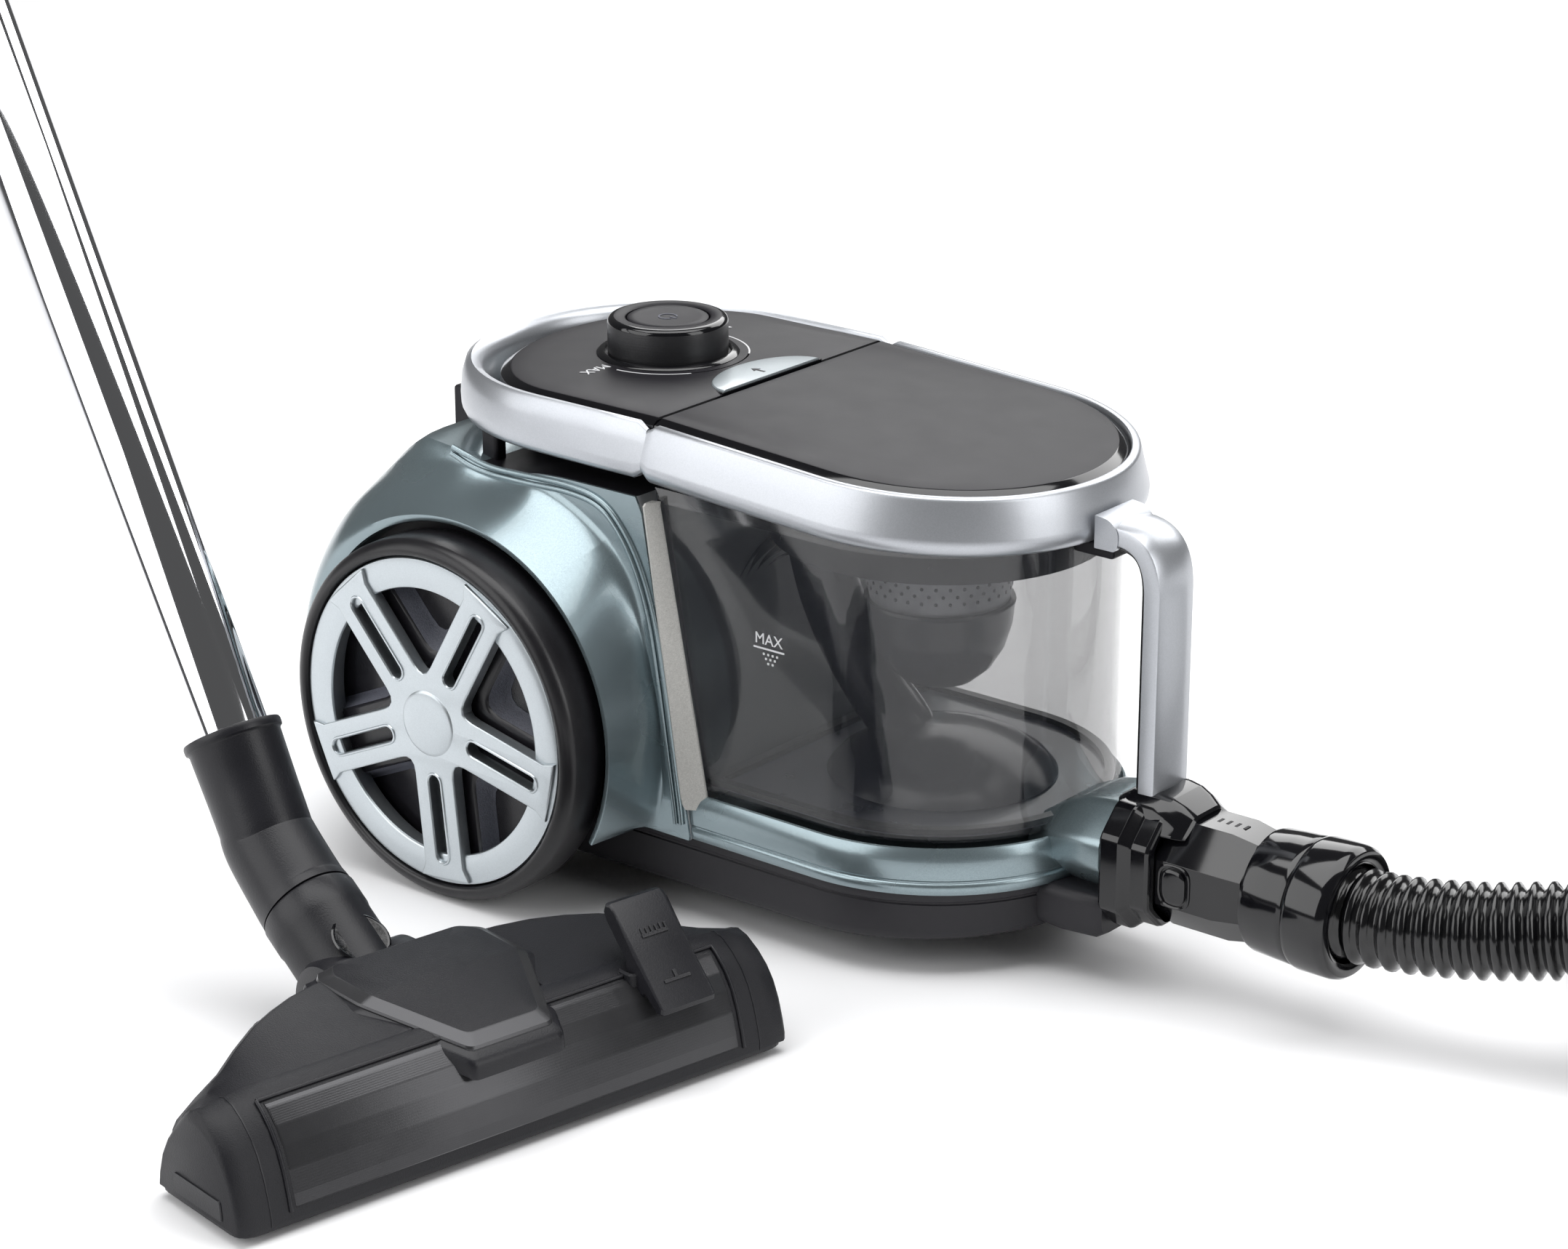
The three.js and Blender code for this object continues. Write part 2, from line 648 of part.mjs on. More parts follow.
function headFrontStrip() {
  const strip = keep(
    widen(headProfile(0), -116 + GAP, 116 - GAP, 8),
    box(-16 + GAP, -120, 4 + GAP, 5, 120, 45 - GAP),
  );
  return cut(strip, widen(headProfile(2.4), -130, 130, 8).translate(0, 0, -3));
}

function headSole() {
  const plate = box(-65, -NOZZLE_HALF + 1, 3, -1, NOZZLE_HALF - 1, 5.6);
  const slot = box(-40, -120, 0, -24, 120, 8);
  const brushSlot = box(-16, -126, 0, -10, 126, 8);
  return cut(plate, slot, brushSlot);
}

function headCover() {
  const outline = shapeFrom([
    [-12, -21], [-12, 21], [-34, 38], [-62, 43], [-90, 43], [-104, 34], [-104, -34], [-90, -43], [-62, -43], [-34, -38],
  ]);
  return raise(outline, 54.6, 59);
}

function brushPedal() {
  const s = shapeFrom([
    [-4, 41], [-2.5, 43.5], [-36, 78], [-42, 77], [-39, 70], [-26, 55], [-26, 40], [-17, 40], [-17, 46.5], [-12, 46.5],
  ]);
  return widen(s, 72, 102);
}

function brushStrip() {
  return box(-15.4, -125, 4.4, -10.6, 125, 14);
}

const HEAD_WHEEL_R = 13;

function headWheel(side) {
  const y = side * 62;
  return aboutY(disc(HEAD_WHEEL_R, y - 5.5, y + 5.5, 20)).translate(-112, 0, HEAD_WHEEL_R);
}

// The elbow tilts about ELBOW, and the neck turns on it about a slanted axis.
const ELBOW = V3(-116, 0, 26);
const ELBOW_TILT = -58.6;

function elbowPlaced(geometry) {
  return geometry.rotateY(deg(ELBOW_TILT)).translate(ELBOW.x, ELBOW.y, ELBOW.z);
}

function neckElbow() {
  const barrel = aboutY(disc(24, -26, 26, 24)).translate(ELBOW.x, 0, ELBOW.z);
  const pipe = elbowPlaced(disc(21.5, 0, 56, 20));
  const bore = elbowPlaced(disc(16, 10, 60, 12));
  return cut(join(barrel, pipe), bore);
}

const NECK_START = 56.4;
const SOCKET = V3(-222, 0, 121);

function tubePlaced(geometry) {
  return geometry.rotateY(deg(TUBE_TILT)).translate(SOCKET.x, SOCKET.y, SOCKET.z);
}

function neckPoint(distance) {
  const a = deg(ELBOW_TILT);
  return V3(ELBOW.x + distance * Math.sin(a), 0, ELBOW.z + distance * Math.cos(a));
}

function socketPoint(distance) {
  const a = deg(TUBE_TILT);
  return V3(SOCKET.x + distance * Math.sin(a), 0, SOCKET.z + distance * Math.cos(a));
}

function neck() {
  const route = [neckPoint(NECK_START), neckPoint(NECK_START + 8), socketPoint(-52), socketPoint(-44)];
  const bend = tubeAlong(route, 21, 12, 6);
  const socket = tubePlaced(turned([[0, -46], [21, -46], [22, -6], [23.5, -4], [23.5, 0], [0, 0]], 20));
  const bore = tubePlaced(disc(TUBE_R + 0.4, -40, 5, 20));
  const duct = tubePlaced(disc(14, -60, -30, 12));
  return cut(join(bend, socket), bore, duct);
}

function lowerTube() {
  return tubePlaced(sleeve(TUBE_R - 1, TUBE_R, -38, TUBE_LEN, 28));
}

function tubeCollar() {
  const collar = sleeve(TUBE_R + GAP, 21, TUBE_LEN - 52, TUBE_LEN + 6, 24);
  const button = box(18, -8, TUBE_LEN - 38, 25, 8, TUBE_LEN - 12);
  return tubePlaced(cut(join(collar, button), disc(TUBE_R + GAP, TUBE_LEN - 60, TUBE_LEN + 10, 24)));
}

function upperTube() {
  return tubePlaced(sleeve(14.8, TUBE_R - 1.5, 120, TUBE_LEN + 70, 28));
}

// ---------------------------------------------------------------- putting it together
add(vacuum, 'lower_base', lowerBase(), CHARCOAL, 0.55);
add(vacuum, 'rear_housing', rearHousing(), BLUE_GREY, 0.3, 0.5);
add(vacuum, 'cradle_band', cradleBand(), BLUE_GREY, 0.3, 0.5);
for (const [word, side] of [['right', -1], ['left', 1]]) {
  add(vacuum, `${word}_trim_strip`, trimStrip(side), 0xc8c6be, 0.5, 0.3);
  add(vacuum, `${word}_tyre`, tyre(side), 0x2e2c2f, 0.7);
  add(vacuum, `${word}_rim`, rim(side), SILVER, 0.35, 0.5);
  add(vacuum, `${word}_wheel_disc`, wheelDisc(side), 0x3f3e42, 0.6);
  add(vacuum, `${word}_connector_button`, connectorButton(side), GLOSS_BLACK, 0.15);
}
add(vacuum, 'rear_deck', rearDeck(), 0x2b2b2e, 0.6);
add(vacuum, 'rear_handle', rearHandle(), SILVER, 0.35, 0.5);
add(vacuum, 'control_panel', controlPanel(), SATIN_BLACK, 0.5);
add(vacuum, 'bin_release_button', binRelease(), 0xa9b0b4, 0.4, 0.4);
add(vacuum, 'control_knob', controlKnob(), 0x1f1f1f, 0.4);
add(vacuum, 'power_button', powerButton(), 0x1f1f1f, 0.4);
add(vacuum, 'lid_panel', lidPanel(), SATIN_BLACK, 0.5);
add(vacuum, 'lid_ring', lidRing(), SILVER, 0.35, 0.5);
add(vacuum, 'lid_latch', lidLatch(), SILVER, 0.35, 0.5);
add(vacuum, 'dust_cup', dustCup(), SMOKE, 0.05);
add(vacuum, 'cup_handle', cupHandle(), SILVER, 0.35, 0.5);
add(vacuum, 'cup_gasket', cupGasket(), 0x222224, 0.8);
add(vacuum, 'mesh_filter', meshFilter(), 0x55555a, 0.4, 0.3);
add(vacuum, 'filter_skirt', filterSkirt(), 0x303034, 0.5);
add(vacuum, 'intake_duct', intakeDuct(), 0x2c2c30, 0.4);
add(vacuum, 'inlet_collar', inletCollar(), BLUE_GREY, 0.3, 0.5);
add(vacuum, 'inlet_ring', inletRing(), GLOSS_BLACK, 0.15);
add(vacuum, 'hose_connector', hoseConnector(), GLOSS_BLACK, 0.15);
add(vacuum, 'hose_cuff', hoseCuff(), GLOSS_BLACK, 0.15);
add(vacuum, 'hose_tube', hoseTube(), GLOSS_BLACK, 0.2);
add(vacuum, 'hose_coil', coilRing(0), GLOSS_BLACK, 0.2);
add(vacuum, 'hose_tail', hoseTail(), GLOSS_BLACK, 0.2);
add(vacuum, 'hose_grip', hoseGrip(), GLOSS_BLACK, 0.3);
add(vacuum, 'air_slider', airSlider(), SILVER, 0.4);
add(vacuum, 'caster_housing', casterHousing(), CHARCOAL, 0.6);
add(vacuum, 'caster_fork', casterFork(), CHARCOAL, 0.6);
add(vacuum, 'caster_wheel', casterWheel(), 0x2e2c2f, 0.7);
add(vacuum, 'motor', cut(motor(), motorShaftRoom()), STEEL, 0.4, 0.8);
add(vacuum, 'motor_fan', motorFan(), STEEL, 0.4, 0.8);
add(vacuum, 'motor_filter', motorFilter(), 0xe0e0dc, 0.9);
add(vacuum, 'exhaust_filter', exhaustFilter(), 0xe8e8e4, 0.9);
add(vacuum, 'exhaust_grille', exhaustGrille(), CHARCOAL, 0.6);
add(vacuum, 'cord_reel', cordReel(), CHARCOAL, 0.6);
add(vacuum, 'cord_outlet', cordOutlet(), 0x202022, 0.6);

const nozzle = new THREE.Group();
nozzle.position.set(NOZZLE_X, NOZZLE_Y, 0);
nozzle.rotation.z = deg(NOZZLE_TURN);
vacuum.add(nozzle);
add(nozzle, 'head_shell', headShell(), 0x3a393c, 0.6);
add(nozzle, 'head_front_strip', headFrontStrip(), 0x4a4a4e, 0.45);
add(nozzle, 'head_sole', headSole(), 0x2a2a2c, 0.6);
add(nozzle, 'head_cover', headCover(), 0x3a393c, 0.6);
add(nozzle, 'brush_pedal', brushPedal(), 0x333236, 0.5);
add(nozzle, 'brush_strip', brushStrip(), 0x1a1a1c, 0.9);
add(nozzle, 'right_head_wheel', headWheel(-1), 0x2e2c2f, 0.7);
add(nozzle, 'left_head_wheel', headWheel(1), 0x2e2c2f, 0.7);
add(nozzle, 'neck_elbow', neckElbow(), 0x333236, 0.55);
add(nozzle, 'neck', neck(), 0x333236, 0.55);
add(nozzle, 'lower_tube', lowerTube(), STEEL, 0.05, 1);
add(nozzle, 'tube_collar', tubeCollar(), 0x333236, 0.5);
add(nozzle, 'upper_tube', upperTube(), STEEL, 0.05, 1);

// The origin is the middle of the footprint, without the free hose.
const FREE_HOSE = ['hose_tube', 'hose_coil', 'hose_tail'];
vacuum.updateMatrixWorld(true);
const footprint = new THREE.Box3();
vacuum.traverse((piece) => {
  if (piece.isMesh && !FREE_HOSE.includes(piece.name)) {
    footprint.expandByObject(piece, true);
  }
});
vacuum.position.set(
  -(footprint.min.x + footprint.max.x) / 2,
  -(footprint.min.y + footprint.max.y) / 2,
  -footprint.min.z,
);

export default vacuum;
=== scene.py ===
# Looks of the canister vacuum cleaner, built round the imported CAD model.
# Shapes are written in millimetres on the part's own axes: +X to the hose inlet, +Y left, +Z up,
# with the middle plane at y = 0 and the big wheels' axle at x = WHEEL_X. piece() turns them into metres.

import json
import math
import random

import bmesh
import bpy
from mathutils import Matrix, Vector


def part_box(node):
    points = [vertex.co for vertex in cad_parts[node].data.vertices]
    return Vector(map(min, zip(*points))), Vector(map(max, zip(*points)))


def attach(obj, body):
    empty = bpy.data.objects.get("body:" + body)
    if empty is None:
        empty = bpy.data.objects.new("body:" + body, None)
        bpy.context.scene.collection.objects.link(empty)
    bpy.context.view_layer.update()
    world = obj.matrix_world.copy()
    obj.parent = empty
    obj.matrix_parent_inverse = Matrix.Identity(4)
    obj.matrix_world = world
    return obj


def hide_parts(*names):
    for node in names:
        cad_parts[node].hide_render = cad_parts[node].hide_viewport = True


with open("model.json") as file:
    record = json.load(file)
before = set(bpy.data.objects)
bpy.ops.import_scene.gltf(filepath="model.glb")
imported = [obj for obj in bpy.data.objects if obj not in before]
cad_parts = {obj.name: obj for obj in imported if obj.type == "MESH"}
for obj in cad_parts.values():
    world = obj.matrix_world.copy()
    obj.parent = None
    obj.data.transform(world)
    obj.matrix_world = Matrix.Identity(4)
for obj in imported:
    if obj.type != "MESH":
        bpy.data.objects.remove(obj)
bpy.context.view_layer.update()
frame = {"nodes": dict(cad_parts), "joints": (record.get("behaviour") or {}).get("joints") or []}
random.seed(7)

# ---------------------------------------------------------------- places from the frame
MM = 0.001
WHEEL_X = -109.0                      # the axle, on the part's own axes
joints = {joint["name"]: joint for joint in frame["joints"]}


def joint_point(name):
    return Vector(joints[name]["pos_m"]) / MM


def joint_axis(name):
    return Vector(joints[name]["axis"]).normalized()


AXLE = joint_point("right_wheel_spin")
ORIGIN = Vector((AXLE.x - WHEEL_X, AXLE.y, 0))


def mm_box(node):
    """Lowest and highest corner of a CAD node on the part's own axes, in millimetres."""
    low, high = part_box(node)
    return low / MM - ORIGIN, high / MM - ORIGIN


WHEEL_Z = AXLE.z
TYRE_R = mm_box("right_tyre")[1].z - WHEEL_Z
TYRE_OUT = mm_box("left_tyre")[1].y
TYRE_IN = mm_box("left_tyre")[0].y
RIM_R = mm_box("left_rim")[1].z - WHEEL_Z
SEAM_X = mm_box("control_panel")[1].x + 0.4
TOP_Z = mm_box("lid_panel")[1].z
PANEL_HALF = mm_box("control_panel")[1].y
REAR_ARC_X = mm_box("control_panel")[0].x + PANEL_HALF
RING_HALF = mm_box("lid_ring")[1].y
RING_LOW = mm_box("rear_handle")[0].z
CUP_HALF = mm_box("dust_cup")[1].y
CUP_LOW = mm_box("dust_cup")[0].z
CUP_TOP = mm_box("dust_cup")[1].z
FRONT_ARC_X = mm_box("lower_base")[0].x + 186 + 80
BODY_HALF = 95.0
BASE_LOW = mm_box("lower_base")[0].z
BASE_TOP = mm_box("lower_base")[1].z
KNOB_X = joint_point("knob_turn").x - ORIGIN.x
INLET = joint_point("cuff_turn") - ORIGIN
LID_SLOPE = math.radians(3.2)
HOSE_R = (mm_box("hose_tail")[1].z - mm_box("hose_tail")[0].z) / 2

NOZZLE_AXIS = joint_axis("head_push")
ELBOW = joint_point("neck_tilt") - ORIGIN
NECK_TILT = math.acos(joint_axis("neck_turn").z)
TUBE_TILT = math.acos(joint_axis("tube_slide").z)

# ---------------------------------------------------------------- frames of the slanted parts
heading = Matrix.Rotation(math.atan2(NOZZLE_AXIS.y, NOZZLE_AXIS.x), 4, "Z")
NOZZLE = Matrix.Translation(ELBOW) @ heading @ Matrix.Translation(Vector((116, 0, -ELBOW.z)))
ELBOW_FRAME = NOZZLE @ Matrix.Translation((-116, 0, ELBOW.z)) @ Matrix.Rotation(-NECK_TILT, 4, "Y")
SOCKET = Vector((-222, 0, 121))
TUBE = NOZZLE @ Matrix.Translation(SOCKET) @ Matrix.Rotation(-TUBE_TILT, 4, "Y")
LID = (
    Matrix.Translation((SEAM_X, 0, TOP_Z))
    @ Matrix.Rotation(LID_SLOPE, 4, "Y")
    @ Matrix.Translation((-SEAM_X, 0, -TOP_Z))
)
ABOUT_X = Matrix.Rotation(math.pi / 2, 4, "Y")
INLET_FRAME = Matrix.Translation((0, 0, INLET.z))


def wheel_frame(side):
    """Local Z points out of the wheel on that side, and local Y stays up."""
    turn = Matrix.Rotation(math.pi / 2, 4, "X")
    flip = Matrix.Rotation(math.pi, 4, "Z") if side > 0 else Matrix.Identity(4)
    return Matrix.Translation((WHEEL_X, 0, WHEEL_Z)) @ flip @ turn


# ---------------------------------------------------------------- shape tools
class Shell:
    """Gathers the faces of one piece. Each face has the number of its material."""

    def __init__(self):
        self.points = []
        self.faces = []
        self.kinds = []

    def loft(self, rings, kind=0, kinds=None, closed=True, caps=True, loop=False):
        """Joins rings of equally many points. kinds gives one material number for each band."""
        start = len(self.points)
        count = len(rings[0])
        for ring in rings:
            self.points.extend(Vector(p) for p in ring)
        bands = len(rings) if loop else len(rings) - 1
        for i in range(bands):
            near = start + i * count
            far = start + ((i + 1) % len(rings)) * count
            for j in range(count if closed else count - 1):
                k = (j + 1) % count
                self.faces.append((near + j, near + k, far + k, far + j))
                self.kinds.append(kinds[i] if kinds else kind)
        if caps and not loop:
            last = start + (len(rings) - 1) * count
            self.faces.append(tuple(range(start + count - 1, start - 1, -1)))
            self.kinds.append(kinds[0] if kinds else kind)
            self.faces.append(tuple(range(last, last + count)))
            self.kinds.append(kinds[-1] if kinds else kind)
        return self

    def lathe(self, profile, sides=48, kind=0, kinds=None, matrix=None, loop=False):
        """Turns [radius, height] pairs about local Z. A radius of 0 at an end closes it."""
        rings = [circle(max(r, 0.02), z, sides) for r, z in profile]
        if matrix is not None:
            rings = [[matrix @ p for p in ring] for ring in rings]
        return self.loft(rings, kind, kinds, loop=loop)

    def moved(self, matrix):
        self.points = [matrix @ p for p in self.points]
        return self


def circle(radius, z, sides):
    return [
        Vector((radius * math.cos(2 * math.pi * i / sides), radius * math.sin(2 * math.pi * i / sides), z))
        for i in range(sides)
    ]


def arc(cx, cy, radius, start, end, steps):
    """Points on an arc, in degrees, both ends included."""
    points = []
    for i in range(steps + 1):
        a = math.radians(start + (end - start) * i / steps)
        points.append((cx + radius * math.cos(a), cy + radius * math.sin(a)))
    return points


def rounded(corners, radius, steps=4):
    """A polygon with each corner rounded by a quadratic curve."""
    points = []
    n = len(corners)
    for i in range(n):
        before = Vector(corners[i - 1])
        corner = Vector(corners[i])
        after = Vector(corners[(i + 1) % n])
        r = radius[i] if isinstance(radius, (list, tuple)) else radius
        a = corner + (before - corner).normalized() * min(r, (before - corner).length * 0.49)
        b = corner + (after - corner).normalized() * min(r, (after - corner).length * 0.49)
        for k in range(steps + 1):
            t = k / steps
            points.append(tuple(a * (1 - t) ** 2 + corner * 2 * t * (1 - t) + b * t * t))
    return points


def d_outline(half, straight_x, arc_x, z, facing=1, steps=40, reach=None):
    """A D seen from above: straight edge at straight_x, round end about arc_x."""
    reach = half if reach is None else reach
    ring = [Vector((straight_x, -half * facing, z))]
    for i in range(steps + 1):
        a = -math.pi / 2 + math.pi * i / steps
        ring.append(Vector((arc_x + facing * reach * math.cos(a), facing * half * math.sin(a), z)))
    ring.append(Vector((straight_x, half * facing, z)))
    return ring


def sweep(path, section, up=Vector((0, 0, 1)), scale=None):
    """Rings of a (side, lift) section carried along a path."""
    rings = []
    for i, p in enumerate(path):
        ahead = path[min(i + 1, len(path) - 1)] - path[max(i - 1, 0)]
        ahead = ahead.normalized()
        side = up.cross(ahead).normalized()
        lift = ahead.cross(side)
        k = scale(i / (len(path) - 1)) if scale else 1
        rings.append([p + side * (s * k) + lift * (t * k) for s, t in section])
    return rings


def smooth_path(points, per_span=8):
    """Catmull-Rom curve through the points."""
    points = [Vector(p) for p in points]
    full = [points[0] * 2 - points[1]] + points + [points[-1] * 2 - points[-2]]
    path = []
    for i in range(1, len(full) - 2):
        a, b, c, d = full[i - 1:i + 3]
        for k in range(per_span):
            t = k / per_span
            path.append(
                ((b * 2) + (c - a) * t + (a * 2 - b * 5 + c * 4 - d) * t * t
                 + (b * 3 - a - c * 3 + d) * t ** 3) / 2
            )
    path.append(points[-1])
    return path


def box_shell(low, high, kind=0):
    (x0, y0, z0), (x1, y1, z1) = low, high
    ring = [(x0, y0), (x1, y0), (x1, y1), (x0, y1)]
    return Shell().loft([[(x, y, z) for x, y in ring] for z in (z0, z1)], kind)


def merge(*shells):
    whole = Shell()
    for shell in shells:
        start = len(whole.points)
        whole.points.extend(shell.points)
        whole.faces.extend(tuple(start + i for i in face) for face in shell.faces)
        whole.kinds.extend(shell.kinds)
    return whole


def piece(name, shell, materials, body, replaces=(), crease=32, round_mm=0, round_steps=3, at=None):
    """Makes a shell into an object in metres, riding on a body."""
    matrix = at if at is not None else Matrix.Identity(4)
    mesh = bpy.data.meshes.new(name)
    points = [((matrix @ p) + ORIGIN) * MM for p in shell.points]
    mesh.from_pydata([tuple(p) for p in points], [], shell.faces)
    bm = bmesh.new()
    bm.from_mesh(mesh)
    bmesh.ops.remove_doubles(bm, verts=bm.verts, dist=1e-6)
    bmesh.ops.recalc_face_normals(bm, faces=bm.faces)
    bm.to_mesh(mesh)
    bm.free()
    obj = bpy.data.objects.new(name, mesh)
    bpy.context.scene.collection.objects.link(obj)
    for material in materials:
        mesh.materials.append(material)
    if len(shell.kinds) == len(mesh.polygons):
        mesh.polygons.foreach_set("material_index", shell.kinds)
    mesh.shade_smooth()
    mesh.set_sharp_from_angle(angle=math.radians(crease))
    if round_mm:
        bevel = obj.modifiers.new("rounding", "BEVEL")
        bevel.width = round_mm * MM
        bevel.segments = round_steps
        bevel.limit_method = "ANGLE"
        bevel.angle_limit = math.radians(crease)
        bevel.harden_normals = True
    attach(obj, body)
    if replaces:
        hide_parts(*replaces)
    return obj


def carve(obj, cutter_shell, material=None):
    """Cuts a closed shell out of a piece. The cut faces take the given material."""
    mesh = bpy.data.meshes.new("cutter")
    mesh.from_pydata([tuple((p + ORIGIN) * MM) for p in cutter_shell.points], [], cutter_shell.faces)
    bm = bmesh.new()
    bm.from_mesh(mesh)
    bmesh.ops.recalc_face_normals(bm, faces=bm.faces)
    bm.to_mesh(mesh)
    bm.free()
    if material:
        mesh.materials.append(material)
    cutter = bpy.data.objects.new("cutter", mesh)
    bpy.context.scene.collection.objects.link(cutter)
    modifier = obj.modifiers.new("cut", "BOOLEAN")
    modifier.object = cutter
    modifier.operation = "DIFFERENCE"
    modifier.solver = "EXACT"
    modifier.material_mode = "TRANSFER"
    bpy.context.view_layer.update()
    result = bpy.data.meshes.new_from_object(obj.evaluated_get(bpy.context.evaluated_depsgraph_get()))
    obj.modifiers.remove(modifier)
    obj.data = result
    bpy.data.objects.remove(cutter)
    result.shade_smooth()
    result.set_sharp_from_angle(angle=math.radians(32))
    return obj


def flat_plate(name, outlines, low, high, rounding, frame_matrix, kind=0):
    """A plate with holes: the first outline is its edge and the rest are holes, edges rounded."""
    curve = bpy.data.curves.new(name, "CURVE")
    curve.dimensions = "2D"
    curve.fill_mode = "BOTH"
    curve.extrude = (high - low) / 2 - rounding
    curve.bevel_depth = rounding
    curve.bevel_resolution = 2
    curve.offset = -rounding
    for outline in outlines:
        spline = curve.splines.new("POLY")
        spline.points.add(len(outline) - 1)
        for point, (x, y) in zip(spline.points, outline):
            point.co = (x, y, 0, 1)
        spline.use_cyclic_u = True
    holder = bpy.data.objects.new(name, curve)
    bpy.context.scene.collection.objects.link(holder)
    bpy.context.view_layer.update()
    mesh = bpy.data.meshes.new_from_object(holder.evaluated_get(bpy.context.evaluated_depsgraph_get()))
    bpy.data.objects.remove(holder)
    shell = Shell()
    middle = Matrix.Translation((0, 0, (low + high) / 2))
    shell.points = [frame_matrix @ middle @ v.co for v in mesh.vertices]
    shell.faces = [tuple(p.vertices) for p in mesh.polygons]
    shell.kinds = [kind] * len(shell.faces)
    bpy.data.meshes.remove(mesh)
    return shell


def lettering(text, size, matrix, depth=0.15):
    """Generic words printed on a surface, as thin raised letters in the matrix's XY plane."""
    curve = bpy.data.curves.new("words", "FONT")
    curve.body = text
    curve.size = size
    curve.extrude = depth
    curve.align_x = "CENTER"
    curve.align_y = "CENTER"
    holder = bpy.data.objects.new("words", curve)
    bpy.context.scene.collection.objects.link(holder)
    bpy.context.view_layer.update()
    mesh = bpy.data.meshes.new_from_object(holder.evaluated_get(bpy.context.evaluated_depsgraph_get()))
    bpy.data.objects.remove(holder)
    shell = Shell()
    shell.points = [matrix @ v.co for v in mesh.vertices]
    shell.faces = [tuple(p.vertices) for p in mesh.polygons]
    shell.kinds = [0] * len(shell.faces)
    bpy.data.meshes.remove(mesh)
    return shell


# ---------------------------------------------------------------- materials
def srgb(red, green, blue):
    """Linear colour from screen values of 0 to 255."""
    linear = []
    for value in (red, green, blue):
        c = value / 255
        linear.append(c / 12.92 if c <= 0.04045 else ((c + 0.055) / 1.055) ** 2.4)
    return linear


def material(name, colour, rough, metallic=0.0, coat=0.0, tint=0.06, tint_scale=35, rough_change=0.06,
             grain=0.0, grain_scale=900, flakes=0.0, alpha=1.0, specular=0.5):
    """A moulded or lacquered surface: slight cloudiness, uneven gloss, and grain or metal flakes."""
    m = bpy.data.materials.new(name)
    m.use_nodes = True
    nodes = m.node_tree.nodes
    links = m.node_tree.links
    shader = nodes["Principled BSDF"]
    shader.inputs["Metallic"].default_value = metallic
    shader.inputs["Coat Weight"].default_value = coat
    shader.inputs["Coat Roughness"].default_value = 0.06
    shader.inputs["Specular IOR Level"].default_value = specular
    shader.inputs["Alpha"].default_value = alpha
    where = nodes.new("ShaderNodeTexCoord")
    clouds = nodes.new("ShaderNodeTexNoise")
    clouds.inputs["Scale"].default_value = tint_scale
    clouds.inputs["Detail"].default_value = 3
    links.new(where.outputs["Object"], clouds.inputs["Vector"])
    ramp = nodes.new("ShaderNodeValToRGB")
    ramp.color_ramp.elements[0].position = 0.3
    ramp.color_ramp.elements[1].position = 0.7
    ramp.color_ramp.elements[0].color = [c * (1 - tint) for c in colour] + [1]
    ramp.color_ramp.elements[1].color = [min(1, c * (1 + tint)) for c in colour] + [1]
    links.new(clouds.outputs["Fac"], ramp.inputs["Fac"])
    base = ramp.outputs["Color"]
    if flakes:
        specks = nodes.new("ShaderNodeTexVoronoi")
        specks.inputs["Scale"].default_value = 2600
        links.new(where.outputs["Object"], specks.inputs["Vector"])
        speck_ramp = nodes.new("ShaderNodeValToRGB")
        speck_ramp.color_ramp.elements[0].color = (1 - flakes, 1 - flakes, 1 - flakes, 1)
        speck_ramp.color_ramp.elements[1].color = (1 + flakes, 1 + flakes, 1 + flakes, 1)
        links.new(specks.outputs["Color"], speck_ramp.inputs["Fac"])
        mix = nodes.new("ShaderNodeMix")
        mix.data_type = "RGBA"
        mix.blend_type = "MULTIPLY"
        mix.inputs["Factor"].default_value = 1
        links.new(base, mix.inputs["A"])
        links.new(speck_ramp.outputs["Color"], mix.inputs["B"])
        base = mix.outputs["Result"]
    links.new(base, shader.inputs["Base Color"])
    gloss = nodes.new("ShaderNodeMapRange")
    gloss.inputs["To Min"].default_value = max(0.01, rough - rough_change)
    gloss.inputs["To Max"].default_value = rough + rough_change
    links.new(clouds.outputs["Fac"], gloss.inputs["Value"])
    links.new(gloss.outputs["Result"], shader.inputs["Roughness"])
    if grain:
        texture = nodes.new("ShaderNodeTexNoise")
        texture.inputs["Scale"].default_value = grain_scale
        texture.inputs["Detail"].default_value = 2
        links.new(where.outputs["Object"], texture.inputs["Vector"])
        bump = nodes.new("ShaderNodeBump")
        bump.inputs["Strength"].default_value = grain
        bump.inputs["Distance"].default_value = 0.0003
        links.new(texture.outputs["Fac"], bump.inputs["Height"])
        links.new(bump.outputs["Normal"], shader.inputs["Normal"])
    return m


def brushed(name, colour, rough, metallic, scale):
    """A turned surface: fine rings of scratches across the local Z axis."""
    m = material(name, colour, rough, metallic, rough_change=0.03)
    nodes = m.node_tree.nodes
    links = m.node_tree.links
    where = nodes["Texture Coordinate"]
    stretch = nodes.new("ShaderNodeMapping")
    stretch.inputs["Scale"].default_value = (1, 1, scale)
    lines = nodes.new("ShaderNodeTexNoise")
    lines.inputs["Scale"].default_value = 60
    lines.inputs["Detail"].default_value = 4
    bump = nodes.new("ShaderNodeBump")
    bump.inputs["Strength"].default_value = 0.25
    bump.inputs["Distance"].default_value = 0.0002
    links.new(where.outputs["Object"], stretch.inputs["Vector"])
    links.new(stretch.outputs["Vector"], lines.inputs["Vector"])
    links.new(lines.outputs["Fac"], bump.inputs["Height"])
    links.new(bump.outputs["Normal"], nodes["Principled BSDF"].inputs["Normal"])
    return m


